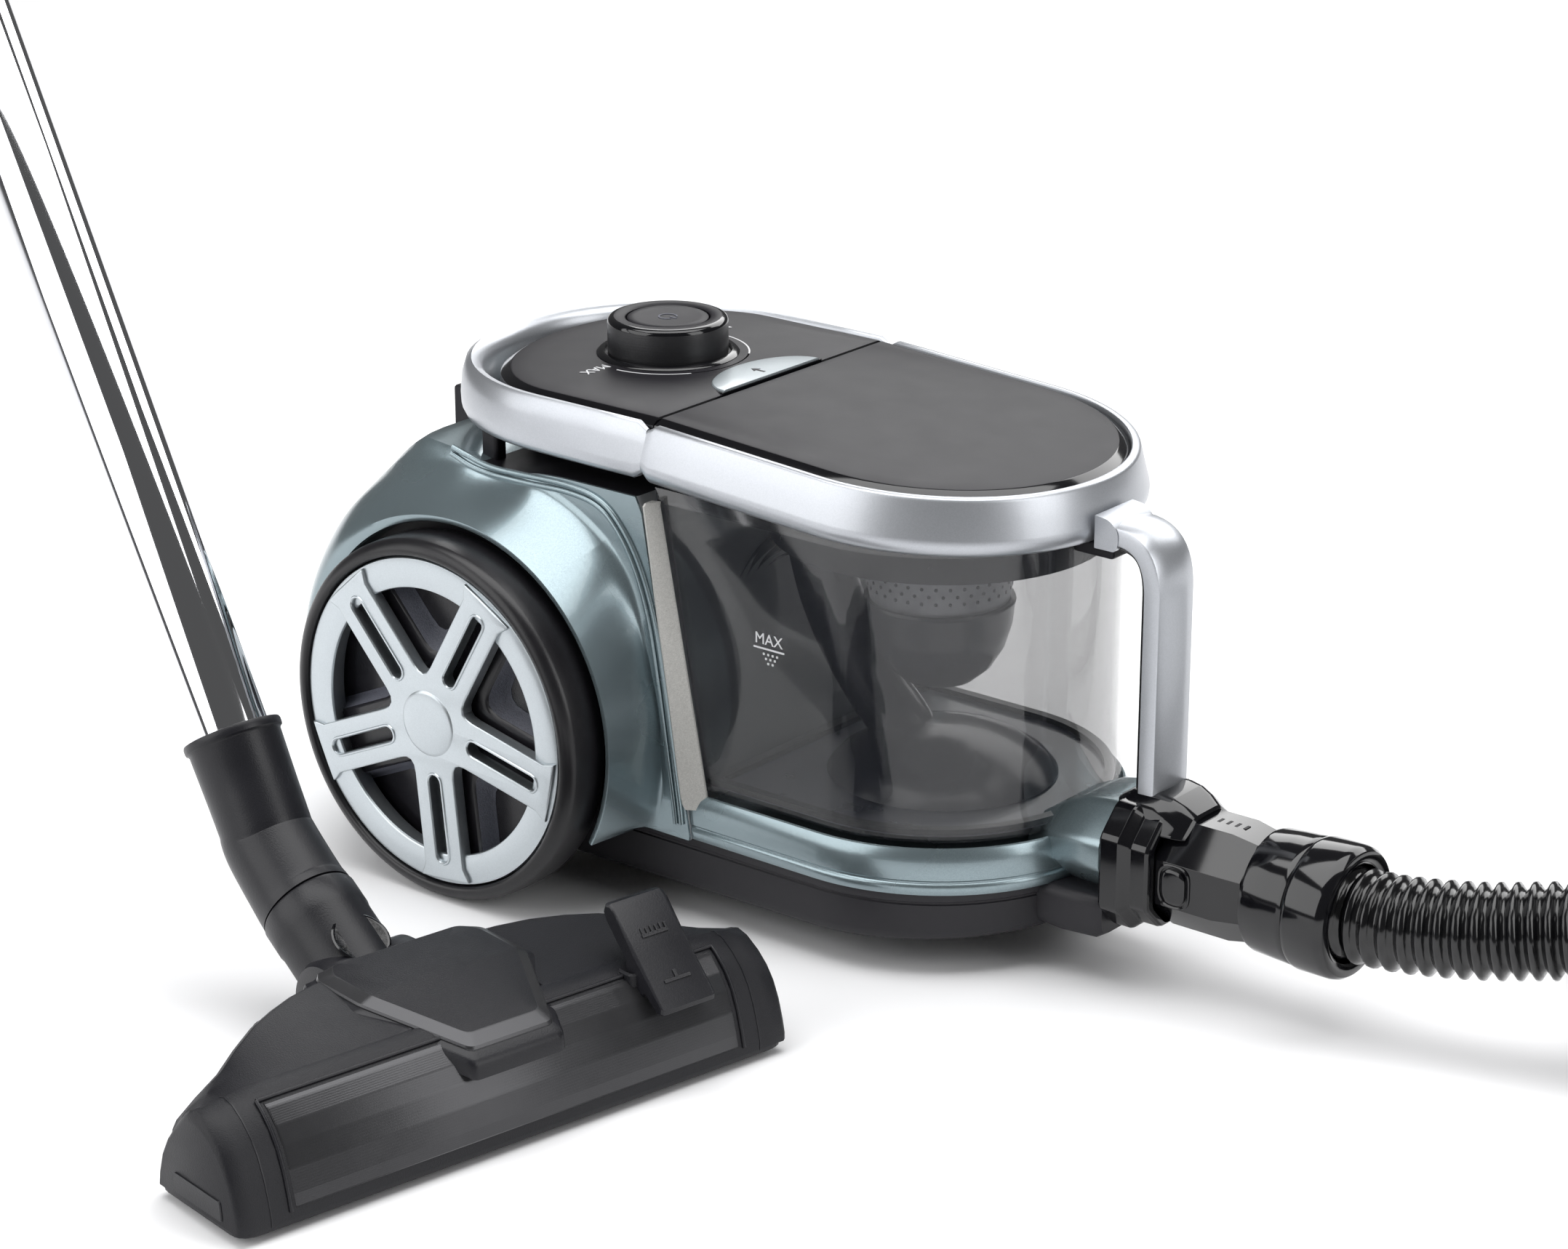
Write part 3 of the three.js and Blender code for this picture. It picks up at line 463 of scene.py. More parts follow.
HOUSING = material("housing lacquer", srgb(132, 147, 152), 0.27, 0.74, 0.4, 0.03, 12, 0.03, flakes=0.10)
SILVER = material("silver lacquer", srgb(178, 181, 186), 0.36, 0.8, 0.15, 0.02, 14, 0.03, flakes=0.06)
RIM_SILVER = material("rim lacquer", srgb(186, 193, 197), 0.3, 0.82, 0.2, 0.02, 20, 0.03, flakes=0.06)
CHAMPAGNE = material("speckled trim", srgb(190, 189, 185), 0.5, 0.3, 0.0, 0.04, 600, 0.05, flakes=0.14)
CHARCOAL = material("charcoal plastic", srgb(36, 35, 39), 0.44, 0, 0, 0.05, 60, 0.05, grain=0.2, grain_scale=1600,
                    specular=0.3)
SATIN = material("satin black", srgb(29, 28, 32), 0.46, 0, 0, 0.04, 50, 0.04, grain=0.12, grain_scale=2600,
                 specular=0.2)
GLOSS = material("gloss black", srgb(12, 12, 15), 0.1, 0, 0.15, 0.05, 30, 0.02, specular=0.45)
HOSE_BLACK = material("hose plastic", srgb(12, 12, 14), 0.16, 0, 0.1, 0.08, 90, 0.04, specular=0.5)
RUBBER = material("tyre rubber", srgb(22, 21, 24), 0.32, 0, 0, 0.08, 70, 0.07, grain=0.16, grain_scale=1400,
                  specular=0.4)
DISC_DARK = material("wheel disc plastic", srgb(34, 33, 37), 0.24, 0, 0, 0.05, 60, 0.06, grain=0.12, grain_scale=1800,
                     specular=0.4)
DISC_GRAIN = material("wheel disc grain", srgb(84, 86, 96), 0.6, 0, 0, 0.2, 1200, 0.1, grain=0.9, grain_scale=1500)
NOZZLE_BLACK = material("nozzle plastic", srgb(25, 25, 29), 0.46, 0, 0, 0.06, 80, 0.06, grain=0.5, grain_scale=1700,
                        specular=0.28)
NOZZLE_SHEEN = material("nozzle strip", srgb(66, 66, 68), 0.3, 0.6, 0, 0.04, 60, 0.04, grain=0.1, grain_scale=1800)
NOZZLE_SMOOTH = material("nozzle smooth", srgb(27, 27, 31), 0.36, 0, 0, 0.06, 40, 0.05, grain=0.25, grain_scale=1300,
                         specular=0.32)
CHROME = material("polished chrome", srgb(226, 227, 230), 0.05, 1.0, 0, 0.01, 10, 0.01)
SMOKE = material("smoke clear", srgb(50, 52, 56), 0.03, 0, 1.0, 0.03, 20, 0.01, alpha=0.27, specular=0.9)
SMOKE_DARK = material("smoke rim", srgb(40, 41, 44), 0.05, 0, 1.0, 0.03, 20, 0.01, alpha=0.72, specular=0.8)
CUP_BACK = material("cup back wall", srgb(176, 179, 182), 0.4, 0.1, 0.1, 0.1, 14, 0.06)
NAVY = material("bowl plastic", srgb(14, 17, 30), 0.24, 0, 0.1, 0.1, 40, 0.06)
SKIRT = material("skirt plastic", srgb(26, 26, 30), 0.3, 0, 0.1, 0.1, 60, 0.08)
FLOOR_GREY = material("cup floor plastic", srgb(60, 62, 70), 0.3, 0, 0.2, 0.15, 50, 0.08)
MESH_GREY = material("filter screen", srgb(142, 143, 147), 0.4, 0.2, 0, 0.1, 200, 0.08)
FOAM = material("foam", srgb(88, 90, 94), 0.9, 0, 0, 0.2, 500, 0.05, grain=1.0, grain_scale=900)
PRINT = material("printed words", srgb(205, 206, 208), 0.5, 0, 0, 0.02, 100, 0.03)
BUTTON = material("button lacquer", srgb(150, 158, 162), 0.32, 0.5, 0.3, 0.03, 40, 0.03, flakes=0.06)
BRISTLE = material("bristles", srgb(24, 24, 26), 0.8, 0, 0, 0.3, 2500, 0.1, grain=1.0, grain_scale=3000)
STEEL = material("plain steel", srgb(120, 122, 126), 0.35, 0.9, 0, 0.08, 60, 0.08)
KNOB = brushed("brushed knob", srgb(38, 38, 40), 0.36, 0.25, 40)


# ---------------------------------------------------------------- camera, floor and light
def camera():
    """The camera stands at azimuth 39 and elevation 20 degrees, 1.97 m from its target."""
    target = (Vector((-12.8, 0, 119.8)) + ORIGIN) * MM
    distance = 1.9735
    azimuth = math.radians(39)
    elevation = math.radians(20)
    away = Vector((
        math.sin(azimuth) * math.cos(elevation),
        -math.cos(azimuth) * math.cos(elevation),
        math.sin(elevation),
    ))
    data = bpy.data.cameras.new("camera")
    data.lens = 93.5
    data.sensor_width = 36
    data.sensor_fit = "HORIZONTAL"
    data.clip_end = 60
    obj = bpy.data.objects.new("camera", data)
    obj.location = target + away * distance
    obj.rotation_euler = away.to_track_quat("Z", "Y").to_euler()
    bpy.context.scene.collection.objects.link(obj)
    bpy.context.scene.camera = obj


def floor():
    bpy.ops.mesh.primitive_grid_add(x_subdivisions=2, y_subdivisions=2, size=30, location=(0, 0, -0.0004))
    plane = bpy.context.object
    plane.name = "floor"
    plane.data.materials.append(
        material("studio floor", srgb(244, 244, 245), 0.75, 0, 0, 0.004, 1, 0.02, specular=0.1)
    )


def soft_light(name, location, target, size, power):
    data = bpy.data.lights.new(name, "AREA")
    data.shape = "RECTANGLE"
    data.size, data.size_y = size
    data.energy = power
    obj = bpy.data.objects.new(name, data)
    obj.location = location
    obj.rotation_euler = (Vector(location) - Vector(target)).to_track_quat("Z", "Y").to_euler()
    bpy.context.scene.collection.objects.link(obj)


def lights():
    middle = (ORIGIN + Vector((0, 0, 120))) * MM
    soft_light("overhead", (middle.x + 0.1, middle.y - 0.1, 2.5), middle, (3.4, 1.9), 80)
    soft_light("front left", (middle.x - 1.3, middle.y - 2.3, 1.3), middle, (3.2, 2.2), 58)
    soft_light("right", (middle.x + 2.6, middle.y + 0.3, 1.2), middle, (1.3, 2.0), 26)
    soft_light("behind", (middle.x - 0.6, middle.y + 3.0, 2.2), middle, (4.4, 1.8), 96)
    world = bpy.data.worlds.new("studio")
    world.use_nodes = True
    world.node_tree.nodes["Background"].inputs["Color"].default_value = (1.0, 1.0, 1.0, 1)
    world.node_tree.nodes["Background"].inputs["Strength"].default_value = 0.1
    bpy.context.scene.world = world
    bpy.context.scene.view_settings.view_transform = "Standard"


camera()
floor()
lights()

# ---------------------------------------------------------------- hose
COIL_X = (mm_box("hose_coil")[0].x + mm_box("hose_coil")[1].x) / 2 + 14     # clear of the view
COIL_Y = (mm_box("hose_coil")[0].y + mm_box("hose_coil")[1].y) / 2
COIL_R = (mm_box("hose_coil")[1].x - mm_box("hose_coil")[0].x) / 2 - HOSE_R
FLOOR_Z = HOSE_R + 0.6
LEAVE_ANGLE = 240
TAIL_LEN = 150
RIB_PITCH = 7.8

# Free stretch of the hose's middle line, from inside the cuff to the coil.
HOSE_ROUTE = [
    (290, 0, 58), (303, 0, 58), (316, 0.3, 58), (338, 2.5, 59), (370, 10, 62.5), (404, 22, 68),
    (440, 34, 74), (475, 43, 77), (510, 47.5, 73),
]


def coil_route():
    """One loose turn that comes down from its start to the floor."""
    route = []
    for degrees in range(280, 360 + LEAVE_ANGLE + 1, 10):
        done = min(1, (degrees - 270) / 150)
        ease = done * done * (3 - 2 * done)
        a = math.radians(degrees)
        z = 71 + (FLOOR_Z - 71) * ease
        route.append((COIL_X + COIL_R * math.cos(a), COIL_Y + COIL_R * math.sin(a), z))
    return route


def tail_frame():
    a = math.radians(LEAVE_ANGLE)
    start = Vector((COIL_X + COIL_R * math.cos(a), COIL_Y + COIL_R * math.sin(a), FLOOR_Z))
    return Matrix.Translation(start) @ Matrix.Rotation(a - 1.5 * math.pi, 4, "Z")


TAIL = tail_frame()


def even_steps(points, step):
    """The same line, walked in equal steps."""
    path = [points[0]]
    carried = 0.0
    for a, b in zip(points, points[1:]):
        span = (b - a).length
        while carried + span >= step:
            t = (step - carried) / span
            a = a + (b - a) * t
            span = (b - a).length
            path.append(a)
            carried = 0.0
        carried += span
    return path


def hose_line():
    tail = [tuple(TAIL @ Vector((x, 0, 0))) for x in (35, 70, 105, 140, TAIL_LEN + 22)]
    return smooth_path(HOSE_ROUTE + coil_route() + tail, 10)


def hose():
    """Ribs rise from the hose's wall once every pitch, along its whole line."""
    per_rib = 6
    path = even_steps(hose_line(), RIB_PITCH / per_rib)
    groove = HOSE_R - 3.6
    lifts = [0, 0.02, 0.5, 1, 1, 0.5]
    rings = []
    for i, p in enumerate(path):
        ahead = (path[min(i + 1, len(path) - 1)] - path[max(i - 1, 0)]).normalized()
        side = Vector((0, 0, 1)).cross(ahead).normalized()
        lift = ahead.cross(side)
        r = groove + (HOSE_R - groove) * lifts[i % per_rib]
        rings.append([
            p + side * r * math.cos(2 * math.pi * k / 28) + lift * r * math.sin(2 * math.pi * k / 28)
            for k in range(28)
        ])
    shell = Shell().loft(rings)
    obj = piece(
        "ribbed_hose", shell, [HOSE_BLACK], "hose", ["hose_tube", "hose_coil", "hose_tail"], 80
    )
    centre = [(p + ORIGIN) * MM for p in path[::3]]
    length = sum((b - a).length for a, b in zip(centre, centre[1:]))
    return obj, centre, round(length, 2)


ribbed_hose, hose_centre, hose_length = hose()


def hose_grip():
    """Hand grip: a collar that holds the hose, then a curved handle with an air slot on top."""
    collar = Shell().lathe([
        (0, 0.8), (21.9, 0.8), (23.2, 1.6), (24.4, 4), (24.4, 7), (23.8, 8), (24.4, 9), (24.4, 12), (23.8, 13),
        (24.4, 14), (24.4, 23), (23.4, 26), (21.5, 28), (0, 28),
    ], 48, matrix=Matrix.Translation((TAIL_LEN, 0, 3)) @ ABOUT_X)
    path = smooth_path([
        (TAIL_LEN + 22, 0, 2), (TAIL_LEN + 50, 1.5, 2), (TAIL_LEN + 82, 5, 2), (TAIL_LEN + 114, 14, 1),
        (TAIL_LEN + 145, 28, 0),
    ], 10)
    section = [(19.6 * math.cos(a), 19.6 * math.sin(a)) for a in [2 * math.pi * k / 36 for k in range(36)]]
    handle = Shell().loft(sweep(path, section, scale=lambda t: 1.05 - 0.18 * math.sin(math.pi * min(1, t * 1.2))))
    slot_frame = box_shell((TAIL_LEN + 42, -6.5, 18.6), (TAIL_LEN + 84, 11, 21.2))
    grip = piece("hand_grip", merge(collar, handle), [GLOSS], "hose", ["hose_grip"], 40, at=TAIL)
    frame_piece = piece("air_slot_frame", slot_frame, [SATIN], "hose", (), 40, 1.2, at=TAIL)
    slider = box_shell((TAIL_LEN + 50, -3.5, 21.4), (TAIL_LEN + 64, 7.5, 23))
    ridges = [
        box_shell((TAIL_LEN + 52 + 3 * k, -3, 22.8), (TAIL_LEN + 53.4 + 3 * k, 7, 23.8)) for k in range(4)
    ]
    piece(
        "air_slide_cap", merge(slider, *ridges), [SATIN], "air_control", ["air_slider"], 40, 0.35,
        at=TAIL,
    )
    return [grip, frame_piece]


grip_pieces = hose_grip()


# ---------------------------------------------------------------- big wheels
SPOKE_ANGLE = -84                      # one spoke points almost straight down
SPOKES = 5


def turned_outline(outline, degrees):
    a = math.radians(degrees)
    return [(x * math.cos(a) - y * math.sin(a), x * math.sin(a) + y * math.cos(a)) for x, y in outline]


def slot_outline(length0, length1, half):
    return arc(length1 - half, 0, half, -90, 90, 8) + arc(length0 + half, 0, half, 90, 270, 8)


def star_outline(half, tip, flare):
    """Hub and five double spokes as one outline, with soft hub corners and flared feet at the rim."""
    points = []
    for k in range(SPOKES):
        spoke = [
            (tip - 7, -half), (tip - 2.4, -half - flare), (tip - 0.4, -half - flare - 0.5), (tip, -half * 0.5),
            (tip, half * 0.5), (tip - 0.4, half + flare + 0.5), (tip - 2.4, half + flare), (tip - 7, half),
        ]
        points += turned_outline(spoke, SPOKE_ANGLE + 72 * k)
        meet = Vector((half / math.tan(math.radians(36)), half))
        rise = Vector((math.cos(math.radians(72)), math.sin(math.radians(72))))
        a = meet + Vector((9, 0))
        b = meet + rise * 9
        fillet = [tuple(a * (1 - t) ** 2 + meet * 2 * t * (1 - t) + b * t * t) for t in (0, 0.25, 0.5, 0.75, 1)]
        points += turned_outline(fillet, SPOKE_ANGLE + 72 * k)
    return points


def wheel(side, word):
    at = wheel_frame(side)
    body = word + "_wheel"
    face = TYRE_OUT - 1
    mid = (TYRE_IN + TYRE_OUT) / 2
    tyre_profile = (
        [(81.9, TYRE_IN + 1.5), (84, TYRE_IN + 0.5)]
        + arc(83.5, TYRE_IN + 6.5, 6.2, -85, -8, 8)
        + [(TYRE_R - 0.1, mid - 5), (TYRE_R, mid), (TYRE_R - 0.1, mid + 5)]
        + arc(83.5, TYRE_OUT - 6.8, 6.3, 8, 88, 10)
        + [(82.6, TYRE_OUT - 1.1), (81.9, TYRE_OUT - 2.6)]
    )
    tyre = Shell().lathe(tyre_profile, 128, matrix=at, loop=True)
    piece(word + "_tyre_rubber", tyre, [RUBBER], body, [word + "_tyre"], 40)

    ring = Shell().lathe([
        (RIM_R - 0.2, 122), (RIM_R - 0.2, face - 3), (RIM_R - 0.9, face - 1.6), (79.2, face - 1.2), (67.6, face - 1.2),
        (66.6, face - 1.7), (66.2, face - 2.6), (70.2, face - 14), (77.8, face - 16), (77.8, 122),
    ], 128, matrix=at, loop=True)
    plates = [star_outline(12.5, 78.8, 2.4)]
    for k in range(SPOKES):
        plates.append(turned_outline(slot_outline(26, 70, 3.6), SPOKE_ANGLE + 72 * k))
    star = flat_plate("star", plates, face - 6.5, face + 0.6, 0.9, at)
    lips = Shell()
    for k in range(SPOKES):
        turn = at @ Matrix.Rotation(math.radians(SPOKE_ANGLE + 72 * k), 4, "Z")
        outer = slot_outline(24.2, 71.8, 5.4)
        inner = slot_outline(26, 70, 3.6)
        lip = [
            [turn @ Vector((x, y, face + z)) for x, y in line]
            for line, z in ((outer, 0.3), (mid_line(outer, inner, 0.3), 1.1), (mid_line(outer, inner, 0.7), 1.2),
                            (inner, 0.6), (inner, -4.5), (outer, -4.5))
        ]
        lips.loft(lip, loop=True)
    rim = merge(ring, star, lips)
    piece(word + "_rim_face", rim, [RIM_SILVER], body, [word + "_rim"], 35)

    cap = Shell().lathe([
        (0, face + 2.2), (6, face + 2.1), (11, face + 1.8), (14.6, face + 1.2), (16.2, face + 0.7),
        (16.8, face + 0.1), (17, face - 1), (0, face - 1),
    ], 64, matrix=at)
    piece(word + "_hub_cap", cap, [RIM_SILVER], body, (), 50)

    back = Shell().lathe([(6, 122.4), (77.2, 122.4), (77.2, 131), (6, 131)], 96, matrix=at, loop=True)
    relief = Shell()
    levels = [(21.4, 128, 35), (21, 131.2, 34.6), (19.4, 132.4, 33), (16.4, 138.6, 30), (15, 139.6, 28.6)]
    relief.loft([
        [at @ Vector((x, y, z)) for x, y in pedestal_outline(half, hub)] for half, z, hub in levels
    ], kinds=[1, 1, 1, 0])
    piece(
        word + "_wheel_back", merge(back, relief), [DISC_DARK, DISC_GRAIN], body,
        [word + "_wheel_disc"], 30
    )


def pedestal_outline(half, hub):
    """The raised star behind the spokes, with soft corners near the hub."""
    points = []
    for k in range(SPOKES):
        spoke = arc(0, 0, 77, -math.degrees(math.asin(half / 77)), math.degrees(math.asin(half / 77)), 6)
        points += turned_outline(spoke, SPOKE_ANGLE + 72 * k)
        meet = Vector((half / math.tan(math.radians(36)), half))
        rise = Vector((math.cos(math.radians(72)), math.sin(math.radians(72))))
        a = meet + Vector((hub * 0.4, 0))
        b = meet + rise * hub * 0.4
        fillet = [tuple(a * (1 - t) ** 2 + meet * 2 * t * (1 - t) + b * t * t) for t in (0, 0.25, 0.5, 0.75, 1)]
        points += turned_outline(fillet, SPOKE_ANGLE + 72 * k)
    return points


def mid_line(outer, inner, t):
    return [(a[0] + (b[0] - a[0]) * t, a[1] + (b[1] - a[1]) * t) for a, b in zip(outer, inner)]


wheel(-1, "right")
wheel(1, "left")


# ---------------------------------------------------------------- housing
HOUSING_LOW = 42.8


def split_x(z):
    """The slanted line between the housing and the cup, seen from the side."""
    return 7.8 - 0.178 * (z - 62)


def table(pairs, x):
    """Straight-line lookup in a short list of pairs."""
    for (x0, y0), (x1, y1) in zip(pairs, pairs[1:]):
        if x <= x1:
            t = max(0.0, (x - x0) / (x1 - x0))
            return y0 + (y1 - y0) * t
    return pairs[-1][1]


def ease(low, high, x):
    t = min(1.0, max(0.0, (x - low) / (high - low)))
    return t * t * (3 - 2 * t)


def wall_top(x):
    """Top edge of the side wall, with a shallow dip under the handle's end."""
    return 207.2 - 4.4 * math.exp(-((x + 106) / 20) ** 2)


def edge_radius(degrees):
    """How far the side wall reaches from the axle in this direction."""
    a = math.radians(degrees)
    c, s = math.cos(a), math.sin(a)
    reach = 132.0
    if c + 0.178 * s > 0.05:
        reach = 108.4 / (c + 0.178 * s) if degrees < 90 else 400
    if s > 0.3:
        r = 130.0
        for _ in range(12):
            r = (wall_top(WHEEL_X + r * c) - WHEEL_Z) / s
        reach = min(reach, r) if degrees < 112 else reach
    if s < -0.05:
        reach = min(reach, (WHEEL_Z - HOUSING_LOW) / -s)
    return reach


PANEL_Y = 95.6                         # the flat part of the side wall
ARCH_LIP = [(93.6, 117), (93.6, 127.4), (94.3, 129.3), (95.6, 130), (97, 129.8)]
REAR_LIP = [(93.6, 117), (93.6, 128.4), (94.4, 129.8), (97, 130.2), (99.5, 130)]
REAR_CROWN = [(101.4, 129.5), (103.2, 128.7), (107, 125.4), (110.6, 121), (114.4, 115.4), (117.5, 110),
              (119.4, 105.6), (121.3, 100.4), (123, 95), (125, 88.4), (127, 80), (129, 68), (130.6, 52),
              (131.6, 30), (132, 0)]


def flank_foot(degrees):
    """Radius at which the slope beside the wheel arch runs out into the flat wall."""
    return 99 + 17 * ease(16, 56, degrees) + 8 * ease(2, 26, -degrees)


def wall_profile(degrees):
    """Points from the wheel well over the arch to the middle plane, as (radius, distance from it)."""
    rear = ease(92, 140, degrees)
    reach = edge_radius(degrees)
    foot = min(flank_foot(degrees), max(reach - 2.5, 99.5))
    front = []
    for k in range(1, 10):
        t = k / 9
        front.append((97 + (foot - 97) * t, PANEL_Y + (129.8 - PANEL_Y) * (1 - t) ** 2 * (1 + 0.7 * t)))
    end = max(reach, foot + 0.6)
    front += [(foot + (end - foot) * 0.5, PANEL_Y), (end - 0.3, PANEL_Y - 0.1), (end, PANEL_Y - 1),
              (end - 0.6, PANEL_Y - 3), (end - 1.4, 45), (end - 1.4, 0)]
    lip = [(a[0] + (b[0] - a[0]) * rear, a[1] + (b[1] - a[1]) * rear) for a, b in zip(ARCH_LIP, REAR_LIP)]
    over = [(a[0] + (b[0] - a[0]) * rear, a[1] + (b[1] - a[1]) * rear) for a, b in zip(front, REAR_CROWN)]
    s = math.sin(math.radians(degrees))
    limited = []
    for r, y in [(8, 117)] + lip + over:
        if s < -0.05:
            r = min(r, (WHEEL_Z - HOUSING_LOW) / -s)
        if s > 0.3 and degrees > 90:
            r = min(r, (207 - WHEEL_Z) / s)
        limited.append((min(r, reach) if degrees < 96 else r, y))
    return limited


def housing():
    corners = [-22.1, 54.3]
    angles = sorted([-28.6, -27, -25, -23.5] + corners + [d for d in range(-21, 209, 3)] + [208.6])
    profiles = [wall_profile(d) for d in angles]
    count = len(profiles[0])

    def point(index, k, side):
        r, y = profiles[index][k]
        a = math.radians(angles[index])
        return Vector((WHEEL_X + r * math.cos(a), side * y, WHEEL_Z + r * math.sin(a)))

    rings = [[point(i, k, -1) for i in range(len(angles))] for k in range(count)]
    rings += [[point(i, k, 1) for i in range(len(angles))] for k in range(count - 2, -1, -1)]
    shell = Shell().loft(rings, closed=False, caps=False)
    for number, face in enumerate(shell.faces):
        middle = sum((shell.points[i] for i in face), Vector()) / len(face)
        degrees = math.degrees(math.atan2(middle.z - WHEEL_Z, middle.x - WHEEL_X))
        if degrees < -90:
            degrees += 360
        inside = abs(middle.y) < 94.5 and degrees < 97
        behind_cup = inside and degrees < 54
        well = abs(middle.y) > 116 and math.hypot(middle.x - WHEEL_X, middle.z - WHEEL_Z) < 93.5
        shell.kinds[number] = 2 if behind_cup else 1 if inside or well else 0
    return piece("side_housing", shell, [HOUSING, SATIN, CUP_BACK], "base", ["rear_housing"], 38)


side_housing = housing()


def wall_y(side, x, z):
    """Where a line straight in from the side first meets the housing."""
    start = (Vector((x, side * 200, z)) + ORIGIN) * MM
    hit, place, _, _ = side_housing.ray_cast(start, Vector((0, -side, 0)))
    return (place / MM - ORIGIN).y if hit else side * 96


def bead(side):
    """Two rounded lines raised along the front and top of the side wall."""
    line = [(-140, 205), (-130, 202.4), (-120, 200.6), (-109, 200), (-90, 200.4), (-66, 201), (-48, 198.4),
            (-36, 190), (-25, 174), (-16.4, 150), (-10.8, 120), (-7, 95), (-4.2, 76), (-1.8, 60), (-0.6, 50)]
    path = smooth_path([Vector((x, 0, z)) for x, z in line], 5)
    shells = []
    for shift in (0, 3.4):
        flat = []
        for i, p in enumerate(path):
            ahead = (path[min(i + 1, len(path) - 1)] - path[max(i - 1, 0)]).normalized()
            flat.append(p + Vector((ahead.z, 0, -ahead.x)) * -shift)
        depths = [wall_y(side, q.x, q.z) for q in flat]
        points = []
        for i, q in enumerate(flat):
            near = depths[max(0, i - 3):i + 4]
            points.append(Vector((q.x, sum(near) / len(near) + side * 0.3, q.z)))
        section = [(1.45 * math.cos(2 * math.pi * k / 12), 1.45 * math.sin(2 * math.pi * k / 12)) for k in range(12)]
        shells.append(Shell().loft(sweep(points, section, Vector((0, side, 0)))))
    word = "right" if side < 0 else "left"
    piece(word + "_side_bead", merge(*shells), [HOUSING], "base", (), 60)


def trim_strip(side):
    """Slim speckled strip on the housing's front edge, with a flange that laps over the cup."""
    word = "right" if side < 0 else "left"
    rings = []
    for z in (58, 64, 90, 120, 150, 180, 203.5, 205):
        spread = (205 - z) / 147
        rear = split_x(z) - 1.6 - 4.2 * spread
        front = split_x(z) + 3.4 + 3 * spread
        trim = 0.8 if z in (58, 205) else 0
        rings.append([
            (rear + trim, side * 90, z), (front - 1, side * 88.8, z), (front, side * (89.3 - trim), z),
            (front - 0.2, side * (90.2 - trim), z), (rear + 1.2 + trim, side * (96.3 - trim), z),
            (rear + trim, side * (96 - trim), z),
        ])
    piece(
        word + "_strip", Shell().loft(rings), [CHAMPAGNE], "base", [word + "_trim_strip"], 30
    )


for side in (-1, 1):
    bead(side)
    trim_strip(side)


def front_ring(half, z, start=-12.0, steps=44):
    return d_outline(half, start, FRONT_ARC_X, z, 1, steps)


def cradle():
    """Band round the cup's foot: a sloping face over a rounded lip."""
    profile = [(91.8, 42.6), (93.2, 43.2), (93.9, 44.6), (94, 47.4), (93.4, 48.4), (92.7, 48.9), (92.7, 49.6),
               (93.3, 50.4), (93.3, 52.2), (92.7, 58.6), (91.6, 62.6), (90.4, 64.6), (89.4, 65), (88.8, 64.4),
               (88.7, 58), (70, 57)]
    rings = [front_ring(half, z) for half, z in profile]
    piece("cradle_rim", Shell().loft(rings), [HOUSING], "base", ["cradle_band"], 34)


cradle()


def lower_base():
    profile = [(60, 12), (84, 12.2), (87.4, 13.6), (89.4, 16.2), (90, 19.5), (90, 35.4), (89.4, 36), (89.4, 37),
               (90.2, 37.6), (90.6, 38.4), (90.6, 42.8)]
    rings = []
    for half, z in profile:
        inset = 90 - half
        ring = [Vector((-186 + inset, -half + 18, z))]
        ring += [Vector((x, y, z)) for x, y in arc(-168 + inset * 0.5, -half + 18, 18, 188, 270, 5)]
        ring += [Vector((x, y, z)) for x, y in arc(FRONT_ARC_X, 0, half, -90, 90, 40)]
        ring += [Vector((x, y, z)) for x, y in arc(-168 + inset * 0.5, half - 18, 18, 90, 172, 5)]
        ring += [Vector((-186 + inset, half - 18, z))]
        for p in ring:
            rise = max(0.0, (p.x - 20) / 180 * 9)
            p.z += rise * max(0.0, (42 - p.z) / 30)
        rings.append(ring)
    obj = piece("base_tub", Shell().loft(rings), [CHARCOAL], "base", ["lower_base"], 34)
    carve(obj, box_shell((CASTER_X - 31, -31, 0), (CASTER_X + 31, 31, 38)), CHARCOAL)
    nose = []
    for x, half, low in ((150, 33, 24), (176, 33, 22), (194, 31.5, 22.5), (197.5, 29.5, 24.5)):
        ring = rounded([(-half, low), (half, low), (half, 44), (-half, 44)], 6)
        nose.append([(x, y, z) for y, z in ring])
    piece("base_nose", Shell().loft(nose), [CHARCOAL], "base", (), 34)
    rib_shells = [box_shell((-150 + 30 * k, -60, 11.2), (-148 + 30 * k, 60, 13)) for k in range(5)]
    piece("base_ribs", merge(*rib_shells), [CHARCOAL], "base", (), 34, 0.5)


CASTER = joint_point("caster_swivel") - ORIGIN
CASTER_X = CASTER.x
lower_base()


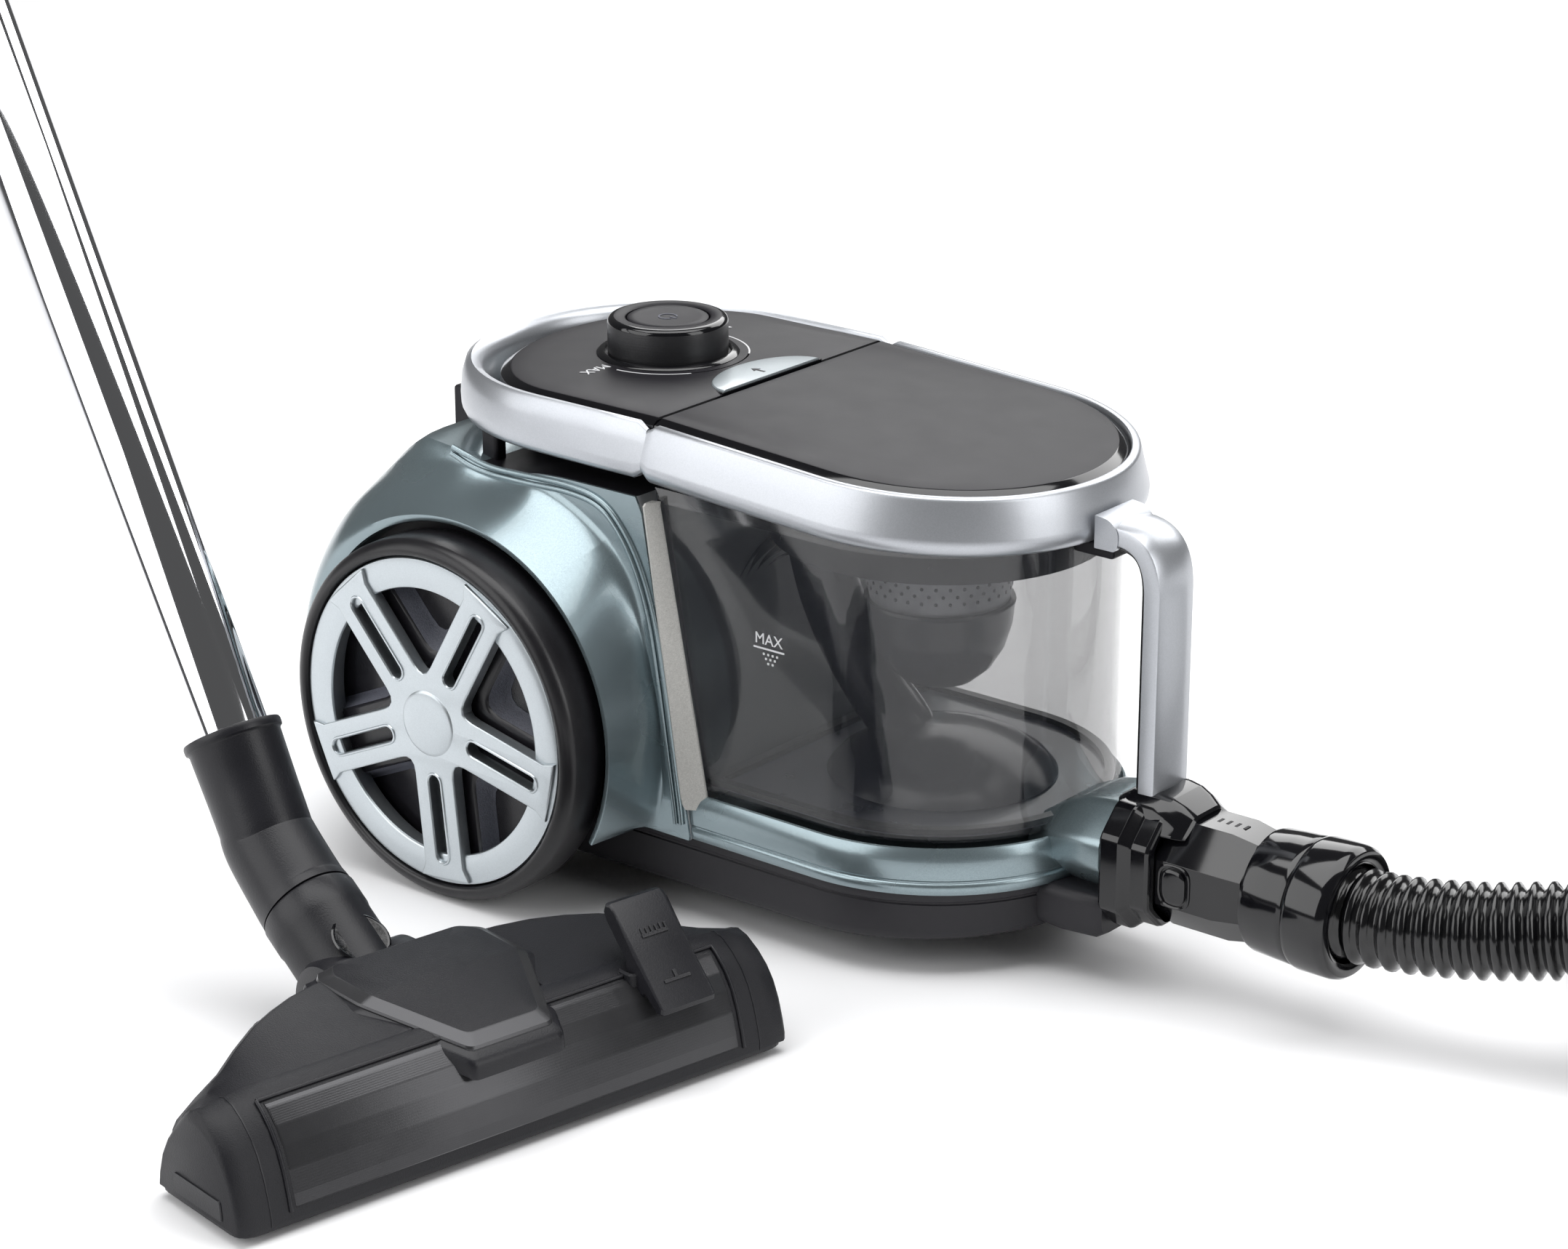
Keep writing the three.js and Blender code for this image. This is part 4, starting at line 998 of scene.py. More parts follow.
def caster():
    low = mm_box("caster_wheel")[0]
    high = mm_box("caster_wheel")[1]
    r = (high.z - low.z) / 2
    middle = Vector(((low.x + high.x) / 2, 0, (low.z + high.z) / 2))
    turn = Matrix.Translation(middle) @ Matrix.Rotation(math.pi / 2, 4, "X")
    tyre = Shell().lathe([
        (0, -8), (r - 4, -8), (r - 1.2, -7), (r - 0.1, -4), (r, 0), (r - 0.1, 4), (r - 1.2, 7), (r - 4, 8), (0, 8),
    ], 48, matrix=turn)
    piece("caster_roller_tyre", tyre, [RUBBER], "caster_roller", ["caster_wheel"], 40)
    plate = Shell().lathe([(0, 34.6), (21.4, 34.6), (22, 35.4), (22, 38), (21.4, 38.6), (0, 38.6)], 48,
                          matrix=Matrix.Translation((CASTER_X, 0, 0)))
    arms = []
    for y0 in (-12.6, 9.6):
        outline = rounded([(middle.x - 6, 9), (middle.x + 6, 9), (middle.x + 10, 36), (middle.x - 4, 36)], 3)
        arms.append(Shell().loft([[(x, y, z) for x, z in outline] for y in (y0, y0 + 3)]))
    pin = Shell().lathe([(0, -13), (2.4, -13), (2.4, 13), (0, 13)], 24, matrix=turn)
    piece("caster_yoke", merge(plate, *arms, pin), [CHARCOAL], "caster", ["caster_fork"], 40, 0.5)
    outer = box_shell((CASTER_X - 32, -32, 22), (CASTER_X + 32, 32, 41.5))
    room = piece("caster_well", outer, [CHARCOAL], "base", ["caster_housing"], 40)
    carve(room, box_shell((CASTER_X - 30, -30, 0), (CASTER_X + 30, 30, 39)), CHARCOAL)


caster()


# ---------------------------------------------------------------- rear top
def rear_ring(half, z, reach=None, seam=0.0):
    return d_outline(half, SEAM_X - 0.4 - seam, REAR_ARC_X, z, -1, 44, reach)


def rear_deck():
    profile = [(60, 200), (64, 206), (64, 222), (66, 236.4)]
    rings = [rear_ring(half, z, half - 4, 6) for half, z in profile]
    piece("deck_block", Shell().loft(rings), [SATIN], "base", ["rear_deck"], 30, 1.2)
    block = box_shell((-205, -26, 188), (-172, 26, 211))
    posts = [box_shell((-128, side * 84 - 4, 200), (-118, side * 84 + 4, 222)) for side in (-1, 1)]
    piece("rear_block", merge(block, *posts), [SATIN], "base", (), 30, 2)


def handle_section(rear, squeeze=0.0):
    """Section of the carry handle as (distance out, height): slim at the seam, rounder at the rear."""
    slim = [(88.5, 219), (88.5, 240.6), (88.9, 242), (90, 242.8), (91.4, 242.6), (92.4, 241.4), (94.2, 233),
            (96.2, 223.6), (97, 219.4), (96.6, 217.4), (95.2, 216.2), (91, 216), (89, 217)]
    round_ = [(84.6, 222), (84.6, 234), (85.6, 239), (88.4, 242.2), (91.8, 242.8), (94.8, 240.8), (96.8, 235),
              (97.4, 227), (96.8, 221), (95, 217.6), (92, 216.2), (88, 216.6), (85.4, 218.6)]
    section = []
    for a, b in zip(slim, round_):
        p = Vector(a).lerp(Vector(b), rear)
        middle = Vector((92, 229.5))
        section.append(p + (middle - p) * squeeze)
    return section


def rear_handle():
    stations = [(SEAM_X - 0.4, 0, 0.24), (SEAM_X - 1.4, 0, 0.2), (SEAM_X - 5.4, 0, 0), (SEAM_X - 30, 0, 0),
                (SEAM_X - 52, 0.1, 0), (REAR_ARC_X, 0.3, 0)]
    right = []
    for x, rear, squeeze in stations:
        right.append([Vector((x, -out, z)) for out, z in handle_section(rear, squeeze)])
    bend = []
    for i in range(1, 36):
        a = math.radians(-90 - 180 * i / 36)
        rear = 0.3 + 0.7 * math.sin(math.pi * i / 36)
        bend.append([
            Vector((REAR_ARC_X + out * math.cos(a), out * math.sin(a), z)) for out, z in handle_section(rear)
        ])
    left = [[Vector((p.x, -p.y, p.z)) for p in ring] for ring in reversed(right)]
    shell = Shell().loft(right + bend + left)
    piece("carry_handle", shell, [SILVER], "base", ["rear_handle"], 40)


PLATE_PROFILE = [(0.6, -7), (0, -6.4), (0, -3.4), (0.3, -2.7), (0.9, -2.2), (4.4, -0.35), (5, -0.02), (5.8, 0.12),
                 (14, 0.5), (26, 0.85), (44, 1.15), (66, 1.3)]


def top_plate(outline_at):
    """A satin plate with a bright bevel round its edge. outline_at gives an outline for an inset."""
    rings = [outline_at(inset, TOP_Z + z) for inset, z in PLATE_PROFILE]
    kinds = [1, 1, 1, 1, 1, 1] + [0] * (len(PLATE_PROFILE) - 7)
    return Shell().loft(rings, kinds=kinds)


def control_panel():
    def outline(inset, z):
        return rear_ring(PANEL_HALF - 0.3 - inset, z, 68 - inset, inset * 0.12)

    piece("control_plate", top_plate(outline), [SATIN, GLOSS], "base", ["control_panel"], 24)
    ring = Shell().lathe([
        (30.4, TOP_Z - 1), (30.4, TOP_Z + 2), (31.2, TOP_Z + 2.8), (33.4, TOP_Z + 2.7), (34.8, TOP_Z + 1.6),
        (35, TOP_Z - 1),
    ], 96, matrix=Matrix.Translation((KNOB_X, 0, 0)), loop=True)
    piece("knob_foot_ring", ring, [GLOSS], "base", (), 40)
    print_z = TOP_Z + 1.2
    line = []
    for i in range(33):
        a = math.radians(-88 + 170 * i / 32)
        line.append([
            Vector((KNOB_X + r * math.cos(a), r * math.sin(a), print_z + h))
            for r, h in ((39, -0.8), (39, 0.1), (39.8, 0.1), (39.8, -0.8))
        ])
    across = Matrix.Rotation(-math.pi / 2, 4, "Z")
    words = [
        lettering("MAX", 8, Matrix.Translation((KNOB_X - 7, -45.5, print_z)) @ across),
        lettering("MIN", 7, Matrix.Translation((KNOB_X - 6, 46.5, print_z)) @ across),
    ]
    piece("dial_print", merge(Shell().loft(line), *words), [PRINT], "base", (), 40)


def half_moon(depth, half, x, z, steps=24):
    ring = []
    for i in range(steps + 1):
        a = math.pi / 2 + math.pi * i / steps
        ring.append(Vector((x + depth * math.cos(a), half * math.sin(a), z)))
    return ring


def bin_release():
    x = SEAM_X - 0.6
    bed = [half_moon(23.8, 37, x + 0.2, TOP_Z + z) for z in (-2, 1.15)]
    piece("release_bed", Shell().loft(bed), [GLOSS], "base", (), 40)
    rings = [
        half_moon(22.6, 35.8, x - 0.4, TOP_Z - 3), half_moon(22.6, 35.8, x - 0.4, TOP_Z + 1.4),
        half_moon(22, 35.2, x - 0.5, TOP_Z + 1.9), half_moon(20, 33, x - 0.7, TOP_Z + 2.1),
        half_moon(9, 16, x - 0.8, TOP_Z + 2.2),
    ]
    piece("bin_release_cap", Shell().loft(rings), [BUTTON], "release", ["bin_release_button"], 34)
    arrow = [(x - 13.4, 0), (x - 9.6, 2.6), (x - 9.6, 0.7), (x - 5, 0.7), (x - 5, -0.7), (x - 9.6, -0.7),
             (x - 9.6, -2.6)]
    mark = Shell().loft([[(px, py, TOP_Z + z) for px, py in arrow] for z in (1.8, 2.3)])
    piece("release_arrow", mark, [SATIN], "release", (), 40)


def knob():
    at = Matrix.Translation((KNOB_X, 0, 0))
    top = mm_box("control_knob")[1].z + 3
    side = Shell().lathe([
        (27, TOP_Z + 1.2), (29.2, TOP_Z + 1.4), (29.35, TOP_Z + 2.4), (29.35, top - 2.6), (28.9, top - 1.2),
        (27.8, top - 0.3), (26.2, top), (21.4, top - 0.2), (20.7, top - 0.8), (20.5, top - 6), (22, TOP_Z + 2),
    ], 128, kinds=[0, 0, 0, 1, 1, 1, 2, 2, 2, 0, 0], matrix=at, loop=True)
    piece("dial_knob", side, [KNOB, GLOSS, SATIN], "knob", ["control_knob"], 40)
    button = Shell().lathe([
        (0, top - 0.9), (8, top - 0.8), (16, top - 0.5), (18.8, top - 0.35), (19.7, top - 0.9), (20, top - 1.8),
        (19.6, top - 6), (18, TOP_Z + 6), (0, TOP_Z + 6),
    ], 96, matrix=at)
    piece("power_cap", button, [SATIN], "power", ["power_button"], 40)
    sign = []
    for i in range(21):
        a = math.radians(30 + 300 * i / 20)
        sign.append([
            Vector((KNOB_X + r * math.cos(a), r * math.sin(a), top + h))
            for r, h in ((4, -0.9), (4, -0.55), (4.8, -0.55), (4.8, -0.9))
        ])
    line = box_shell((KNOB_X + 1.4, -0.4, top - 0.9), (KNOB_X + 5.6, 0.4, top - 0.55))
    piece("power_sign", merge(Shell().loft(sign), line), [DISC_GRAIN], "power", (), 40)


rear_deck()
rear_handle()
control_panel()
bin_release()
knob()


# ---------------------------------------------------------------- lid
def lid():
    def outline(inset, z):
        return d_outline(PANEL_HALF - 0.3 - inset, SEAM_X + 0.4 + inset * 0.12, FRONT_ARC_X, z, 1, 56)

    piece("lid_plate", top_plate(outline), [SATIN, GLOSS], "lid", ["lid_panel"], 24, at=LID)
    section = [(88.6, -26), (88.6, -1.6), (88.9, -0.9), (89.6, -0.6), (91.8, -0.8), (92.6, -1.4), (93.2, -2.6),
               (95.6, -11), (97.9, -18.4), (98.4, -20.6), (98.2, -23), (97.2, -25.4), (95.4, -27), (93, -27.6),
               (90, -27.4)]
    half_ring = []
    for x, squeeze in ((SEAM_X + 0.5, 0.24), (SEAM_X + 1.5, 0.2), (SEAM_X + 5.5, 0), (SEAM_X + 40, 0)):
        ring = []
        for out, z in section:
            p = Vector((out, z)) + (Vector((93, -13.5)) - Vector((out, z))) * squeeze
            ring.append(Vector((x, -p.x, TOP_Z + p.y)))
        half_ring.append(ring)
    bend = []
    for i in range(49):
        a = math.radians(-90 + 180 * i / 48)
        bend.append([
            Vector((FRONT_ARC_X + out * math.cos(a), out * math.sin(a), TOP_Z + z)) for out, z in section
        ])
    other = [[Vector((p.x, -p.y, p.z)) for p in ring] for ring in reversed(half_ring)]
    piece("lid_frame", Shell().loft(half_ring + bend + other), [SILVER], "lid", ["lid_ring"], 38,
          at=LID)


lid()


# ---------------------------------------------------------------- dust cup
def cup_ring(half, z, back=0.6):
    start = split_x(z) + back
    return d_outline(half, start, FRONT_ARC_X, z, 1, 52)


def dust_cup():
    """Clear cup: a thin wall with a solid foot and a darker rim band under the lid."""
    outer = [(CUP_HALF - 3.4, CUP_LOW, 3), (CUP_HALF - 1, CUP_LOW + 0.8, 1.2), (CUP_HALF, CUP_LOW + 3, 0.6),
             (CUP_HALF, 204, 0.6), (CUP_HALF, 208, 0.6), (CUP_HALF, 211, 0.6)]
    inner = [(CUP_HALF - 2.4, 211, 3), (CUP_HALF - 2.4, 204, 3), (CUP_HALF - 2.4, CUP_LOW + 4, 3),
             (CUP_HALF - 6, CUP_LOW + 2.6, 6)]
    rings = [cup_ring(*ring) for ring in outer + inner]
    kinds = [0, 0, 0, 1, 1, 1, 1, 0, 0]
    piece("clear_cup", Shell().loft(rings, kinds=kinds), [SMOKE, SMOKE_DARK], "cup", ["dust_cup"], 40)
    gasket = [cup_ring(CUP_HALF - 3.2, z, 4) for z in (69.4, 72.2)]
    gasket += [cup_ring(CUP_HALF - 8, z, 9) for z in (72.2, 69.4)]
    piece("cup_seal", Shell().loft(gasket, loop=True), [RUBBER], "cup", ["cup_gasket"], 40)
    floor_plate = [cup_ring(CUP_HALF - 4, 68.4, 4.5), cup_ring(CUP_HALF - 4, 69.2, 4.5)]
    piece("cup_floor", Shell().loft(floor_plate), [FLOOR_GREY], "cup", (), 40)
    bracket = box_shell((164, -12, 199), (186, 12, 205.5))
    piece("latch_bracket", bracket, [SATIN], "cup", (), 40, 1.5)
    arms = [box_shell((SEAM_X + 1.4, side * 52 - 7, 203), (SEAM_X + 5.4, side * 52 + 7, 237)) for side in (-1, 1)]
    piece("lid_hinge_arms", merge(*arms), [SATIN], "cup", (), 40, 1)
    upright = Matrix.Rotation(math.pi / 2, 4, "X")
    side = Matrix.Translation((49.5, -CUP_HALF - 0.05, 151)) @ upright
    marks = [lettering("MAX", 7.6, side)]
    marks.append(box_shell((40.6, -CUP_HALF - 0.2, 146.2), (58.6, -CUP_HALF + 0.2, 147)))
    for row, count in enumerate((4, 3, 2)):
        for k in range(count):
            x = 50.5 + (k - (count - 1) / 2) * 2.6
            z = 144 - row * 2.2
            marks.append(box_shell((x - 0.5, -CUP_HALF - 0.2, z - 0.5), (x + 0.5, -CUP_HALF + 0.2, z + 0.5)))
    piece("fill_mark", merge(*marks), [PRINT], "cup", (), 40)


CYCLONE_X = 81.0


def cyclone():
    at = Matrix.Translation((CYCLONE_X, 0, 0))
    screen = Shell().lathe([(31.4, 156), (33, 156.4), (34, 162), (34, 221), (31.4, 221)], 72, matrix=at, loop=True)
    holes = []
    for row in range(14):
        for k in range(32):
            a = math.radians(11.25 * k + 5.625 * (row % 2))
            spot = at @ Matrix.Rotation(a, 4, "Z") @ Matrix.Translation((34.1, 0, 163 + row * 3.6))
            turn = spot @ Matrix.Rotation(math.pi / 2, 4, "Y")
            holes.append(Shell().lathe([(0, 0.12), (0.9, 0.12), (0.9, -0.6), (0, -0.6)], 8, kind=1, matrix=turn))
    piece("mesh_screen", merge(screen, *holes), [MESH_GREY, NAVY], "cup", ["mesh_filter"], 40)
    skirt_at = Matrix.Translation((FRONT_ARC_X + 1, 0, 0))
    profile = [(50, 204), (50, 201), (76, 200), (78, 196), (79.4, 189), (80, 189), (80.6, 196), (80.6, 204)]
    skirt = Shell().lathe(profile, 72, matrix=skirt_at, loop=True)
    piece("cyclone_skirt", skirt, [SKIRT], "cup", ["filter_skirt"], 40)
    bowl = Shell().lathe([
        (0, 112), (9, 113), (17, 116), (25, 122.8), (31, 132.6), (34.4, 144), (35.4, 154), (36, 155.4), (35.4, 156.6),
        (31, 156.4), (28, 142), (15, 121), (0, 116),
    ], 64, matrix=at)
    path = smooth_path([(66, 0, 74), (60, 0, 86), (46, -2, 102), (32, -5, 124), (22, -8, 148), (16, -10, 172)], 6)
    section = [(15 * math.cos(2 * math.pi * k / 28), 15 * math.sin(2 * math.pi * k / 28)) for k in range(28)]
    duct = Shell().loft(sweep(path, section))
    foot = Shell().lathe([(0, 92), (20, 90), (38, 84), (50, 76), (55, 70), (0, 69.4)], 64,
                         matrix=Matrix.Translation((84, 0, 0)))
    piece("inner_duct", merge(bowl, duct, foot), [NAVY], "cup", ["intake_duct"], 40)


dust_cup()
cyclone()


def cup_handle():
    path = [Vector((182, 0, 212.2)), Vector((188, 0, 212))]
    for i in range(1, 13):
        t = i / 12
        a, b, c = Vector((188, 0, 212)), Vector((209.2, 0, 212)), Vector((209.4, 0, 186))
        path.append(a * (1 - t) ** 2 + b * 2 * t * (1 - t) + c * t * t)
    path += [Vector((209.4, 0, z)) for z in (160, 135, 112, 99, 92)]
    section = [(-14, -4.6), (-14, 2.4), (-13.6, 3.2), (-12.8, 3.6), (-6, 4.5), (0, 4.7), (6, 4.5), (12.8, 3.6),
               (13.6, 3.2), (14, 2.4), (14, -4.6), (13.4, -5.2), (-13.4, -5.2)]
    grip = Shell().loft(handle_rings(path, section))
    liner_section = [(-11, -8), (-11, -5), (11, -5), (11, -8)]
    liner = Shell().loft(handle_rings(path, liner_section))
    bosses = []
    for z in (140, 152):
        at = Matrix.Translation((200.6, 0, z)) @ ABOUT_X
        bosses.append(Shell().lathe([(0, -0.8), (2.2, -0.8), (2.8, 0.4), (2.8, 2), (0, 2)], 20, matrix=at))
    piece("cup_grip", grip, [SILVER], "cup", ["cup_handle"], 34)
    piece("cup_grip_liner", merge(liner, *bosses), [GLOSS], "cup", (), 34, 0.6)
    outline = rounded([(177.4, 204), (188.4, 204), (190, 207), (190, 214), (185, 218.6), (177.4, 219.6)],
                      [0.5, 1.5, 2, 2.5, 2, 0.5], 3)
    block = Shell().loft([[(x, y, z) for x, z in outline] for y in (-14.6, 14.6)])
    piece("latch_block", block, [SILVER], "latch", ["lid_latch"], 34, 1.2)


def handle_rings(path, section):
    """Carries (side, out) points along a path in the middle plane; out points away from the cup."""
    rings = []
    for i, p in enumerate(path):
        ahead = (path[min(i + 1, len(path) - 1)] - path[max(i - 1, 0)]).normalized()
        out = Vector((-ahead.z, 0, ahead.x))
        rings.append([p + Vector((0, s, 0)) + out * t for s, t in section])
    return rings


cup_handle()


# ---------------------------------------------------------------- hose inlet
def inlet_outline(x, half, high, low, corner, soft=2.6):
    """A box with cut corners, each corner of the cut slightly rounded, at a place along the inlet."""
    ring = rounded([
        (-half, low + corner), (-half + corner, low), (half - corner, low), (half, low + corner),
        (half, high - corner), (half - corner, high), (-half + corner, high), (-half, high - corner),
    ], soft, 5)
    return [Vector((x, y, INLET.z + z)) for y, z in ring]


def inlet():
    collar = [
        inlet_outline(150, 22, 10, -15.6, 9, 3), inlet_outline(164, 27, 20, -15.6, 12, 3),
        inlet_outline(178, 31.4, 26.5, -15.6, 15, 3), inlet_outline(190, 33, 28.6, -15.6, 16, 3),
        inlet_outline(197, 33.2, 29, -15.6, 16, 3), inlet_outline(197.6, 32.6, 28.4, -15, 16, 3),
    ]
    piece("inlet_arch", Shell().loft(collar), [HOUSING], "base", ["inlet_collar"], 16)
    stations = [
        (197.8, 33, 29.6, -28.4, 13), (198.6, 34.6, 31, -29, 13), (199.6, 35, 31.4, -29.2, 13),
        (208.4, 35, 31.4, -29.2, 13), (209.4, 34.6, 31, -28.8, 13), (212.6, 32, 28.6, -26.2, 12.4),
        (213.6, 31.6, 28.2, -25.8, 12.4), (221, 31.6, 28.2, -25.8, 12.4), (222.6, 30.8, 27.6, -25.2, 12),
        (223, 29.6, 27, -24.6, 11.6), (223, 26.6, 26.2, -24.4, 11), (216, 26.4, 26, -24.2, 11),
    ]
    ring = Shell().loft([inlet_outline(*station) for station in stations])
    saddle = []
    for x, half, high in ((190, 15, 27), (196, 17.4, 32), (201, 18, 35), (216, 18, 35.6), (222, 17.4, 34.6),
                          (228, 16.4, 32), (233, 15, 28.6), (234, 14, 27.4)):
        outline = rounded([(-half - 6, 20), (half + 6, 20), (half + 1, high - 5), (half - 5, high),
                           (-half + 5, high), (-half - 1, high - 5)], [2, 2, 3, 3, 3, 3], 5)
        saddle.append([(x, y, INLET.z + z) for y, z in outline])
    piece("inlet_bezel", merge(ring, Shell().loft(saddle)), [GLOSS], "base", ["inlet_ring"], 14, 0.5)


def octagon(x, radius):
    corner = radius / math.cos(math.pi / 8)
    ring = []
    for k in range(8):
        a = math.pi / 8 + k * math.pi / 4
        ring.append(Vector((x, corner * math.cos(a), INLET.z + corner * math.sin(a))))
    return ring


def connector():
    rings = [octagon(x, r) for x, r in ((206, 24.5), (222, 24.5), (222.6, 25.6), (224, 26), (254, 26), (266.8, 23.7),
                                        (267.6, 22.9), (267.6, 18))]
    body = Shell().loft(rings)
    dents = []
    for k in range(4):
        x = 240 + 4.6 * k
        dents.append(box_shell((x, -2.2, INLET.z + 25.8), (x + 1.6, 2.2, INLET.z + 26.15), 1))
    piece("swivel_connector", merge(body, *dents), [GLOSS, SATIN], "hose", ["hose_connector"], 24, 1.1)
    for word, side in (("right", -1), ("left", 1)):
        low, high = mm_box(word + "_connector_button")
        middle_x = (low.x + high.x) / 2
        rings = []
        for half_x, half_z, out in ((8.6, 10.6, 25.4), (8.6, 10.6, 26.5), (8.1, 10.1, 26.8), (7.4, 9.4, 26.5),
                                    (7.2, 9.2, 25.6)):
            outline = rounded([(-half_x, -half_z), (half_x, -half_z), (half_x, half_z), (-half_x, half_z)], 7, 6)
            rings.append([(middle_x + x, side * out, INLET.z + z) for x, z in outline])
        piece(word + "_catch_frame", Shell().loft(rings), [GLOSS], "hose", (), 40)
        cap = []
        for half_x, half_z, out in ((6.4, 8.4, 25), (6.4, 8.4, 27.1), (5.8, 7.8, 27.7), (4.4, 6.4, 27.9)):
            outline = rounded([(-half_x, -half_z), (half_x, -half_z), (half_x, half_z), (-half_x, half_z)], 6, 6)
            cap.append([(middle_x + x, side * out, INLET.z + z) for x, z in outline])
        piece(word + "_catch_cap", Shell().loft(cap), [GLOSS], word + "_catch",
              [word + "_connector_button"], 40)


def cuff():
    at = INLET_FRAME @ ABOUT_X
    profile = [(23, 268.2), (27, 268.2), (28.2, 269), (28.9, 271), (29.6, 282), (30, 289), (30.1, 291), (29.8, 291.8),
               (30.6, 292.6), (31, 294.5), (31, 309), (30.4, 311.6), (29, 313.4), (27, 314), (24.6, 313.8),
               (23, 312.6), (22.6, 306), (22.6, 272)]
    shell = Shell().lathe(profile, 96, matrix=at, loop=True)
    piece("swivel_cuff", shell, [GLOSS], "cuff", ["hose_cuff"], 34)


inlet()
connector()
cuff()


# ---------------------------------------------------------------- inside and rear of the housing
def dress(node, *looks):
    """Gives a hidden CAD node its material and softened edges."""
    obj = frame["nodes"][node]
    obj.data.materials.clear()
    for look in looks:
        obj.data.materials.append(look)
    bevel = obj.modifiers.new("rounding", "BEVEL")
    bevel.width = 0.0006
    bevel.segments = 2
    bevel.limit_method = "ANGLE"
    bevel.angle_limit = math.radians(35)


def housing_insides():
    dress("motor", STEEL)
    dress("motor_fan", STEEL)
    dress("cord_reel", CHARCOAL)
    low, high = mm_box("motor_filter")
    at = Matrix.Translation((low.x, 0, 122)) @ ABOUT_X
    thick = high.x - low.x
    pleats = [(0, 0.4)]
    for k in range(11):
        pleats += [(3 + 4 * k, thick - 1.6), (5 + 4 * k, thick - 0.2)]
    pleats += [(45, thick - 1), (45, 0.6), (44, 0)]
    piece("pleated_filter", Shell().lathe(pleats + [(0, 0)], 64, matrix=at), [FOAM], "base",
          ["motor_filter"], 40)
    dress("exhaust_filter", FOAM)


def rear_vent():
    low, high = mm_box("exhaust_grille")
    outline = rounded([(low.y - 6, low.z - 6), (high.y + 6, low.z - 6), (high.y + 6, high.z + 6),
                       (low.y - 6, high.z + 6)], 9, 6)
    inner = rounded([(low.y, low.z), (high.y, low.z), (high.y, high.z), (low.y, high.z)], 5, 6)

    def skin(y, z, out=0.0):
        r = 131.4 + out - max(0.0, abs(y) - 20) ** 2 / 900
        return Vector((WHEEL_X - math.sqrt(max(1, r * r - (z - WHEEL_Z) ** 2)), y, z))

    frame_rings = [[skin(y, z, out) for y, z in line] for line, out in
                   ((outline, -1), (outline, 0.8), (inner, 1.4), (inner, -3))]
    slats = []
    for k in range(9):
        z = low.z + 2 + k * (high.z - low.z - 4) / 8
        path = [skin(y, z, 0.6) for y in range(int(low.y), int(high.y) + 1, 5)]
        slats.append(Shell().loft(sweep(path, [(-2.6, -0.8), (2.6, -1.2), (2.6, 0), (-2.6, 0.8)])))
    piece("vent_frame", merge(Shell().loft(frame_rings, caps=False), *slats), [CHARCOAL], "base",
          ["exhaust_grille"], 40)
    back = Shell().loft([[skin(y, z, -2.4) for y, z in line] for line in (inner, rounded(
        [(-4, (low.z + high.z) / 2 - 3), (4, (low.z + high.z) / 2 - 3), (4, (low.z + high.z) / 2 + 3),
         (-4, (low.z + high.z) / 2 + 3)], 2, 6))], caps=True)
    piece("vent_back", back, [GLOSS], "base", (), 60)
    outlet_low, outlet_high = mm_box("cord_outlet")
    y = (outlet_low.y + outlet_high.y) / 2
    z = (outlet_low.z + outlet_high.z) / 2
    place = skin(y, z)
    at = Matrix.Translation((place.x - 3, y, z)) @ ABOUT_X
    bush = Shell().lathe([(4.6, 0.4), (6.6, 0), (8.4, 1), (9.4, 4), (9.4, 12), (4.6, 12)], 40, matrix=at, loop=True)
    piece("cord_bush", bush, [SATIN], "base", ["cord_outlet"], 40)


housing_insides()
rear_vent()


# ---------------------------------------------------------------- floor nozzle (local: +X front, +Y along)
NOZZLE_END = 143.0
BAR = [(-64, 5.6), (-63, 12), (-60, 22), (-55, 32), (-49, 40), (-42.6, 47.6), (-38, 51.4), (-33, 53), (-27, 51.6),
       (-20.5, 47.4), (-14.4, 41.6), (-9.6, 34.6), (-5.8, 25.6), (-3, 16), (-1.4, 9), (-1.4, 5.6)]


def bar_section(u, shrink=0.0):
    """Section of the nozzle's bar at a place along it. The ends are lower and narrower."""
    fall = ease(110, 146, abs(u))
    ring = []
    for n, z in BAR:
        x = n
        h = 5.6 + (z - 5.6) * (1 - 0.08 * fall)
        x += (-32 - x) * shrink * 0.5
        h += (22 - h) * shrink * (1 if h > 22 else 0.1)
        ring.append(Vector((x, u, h)))
    return ring


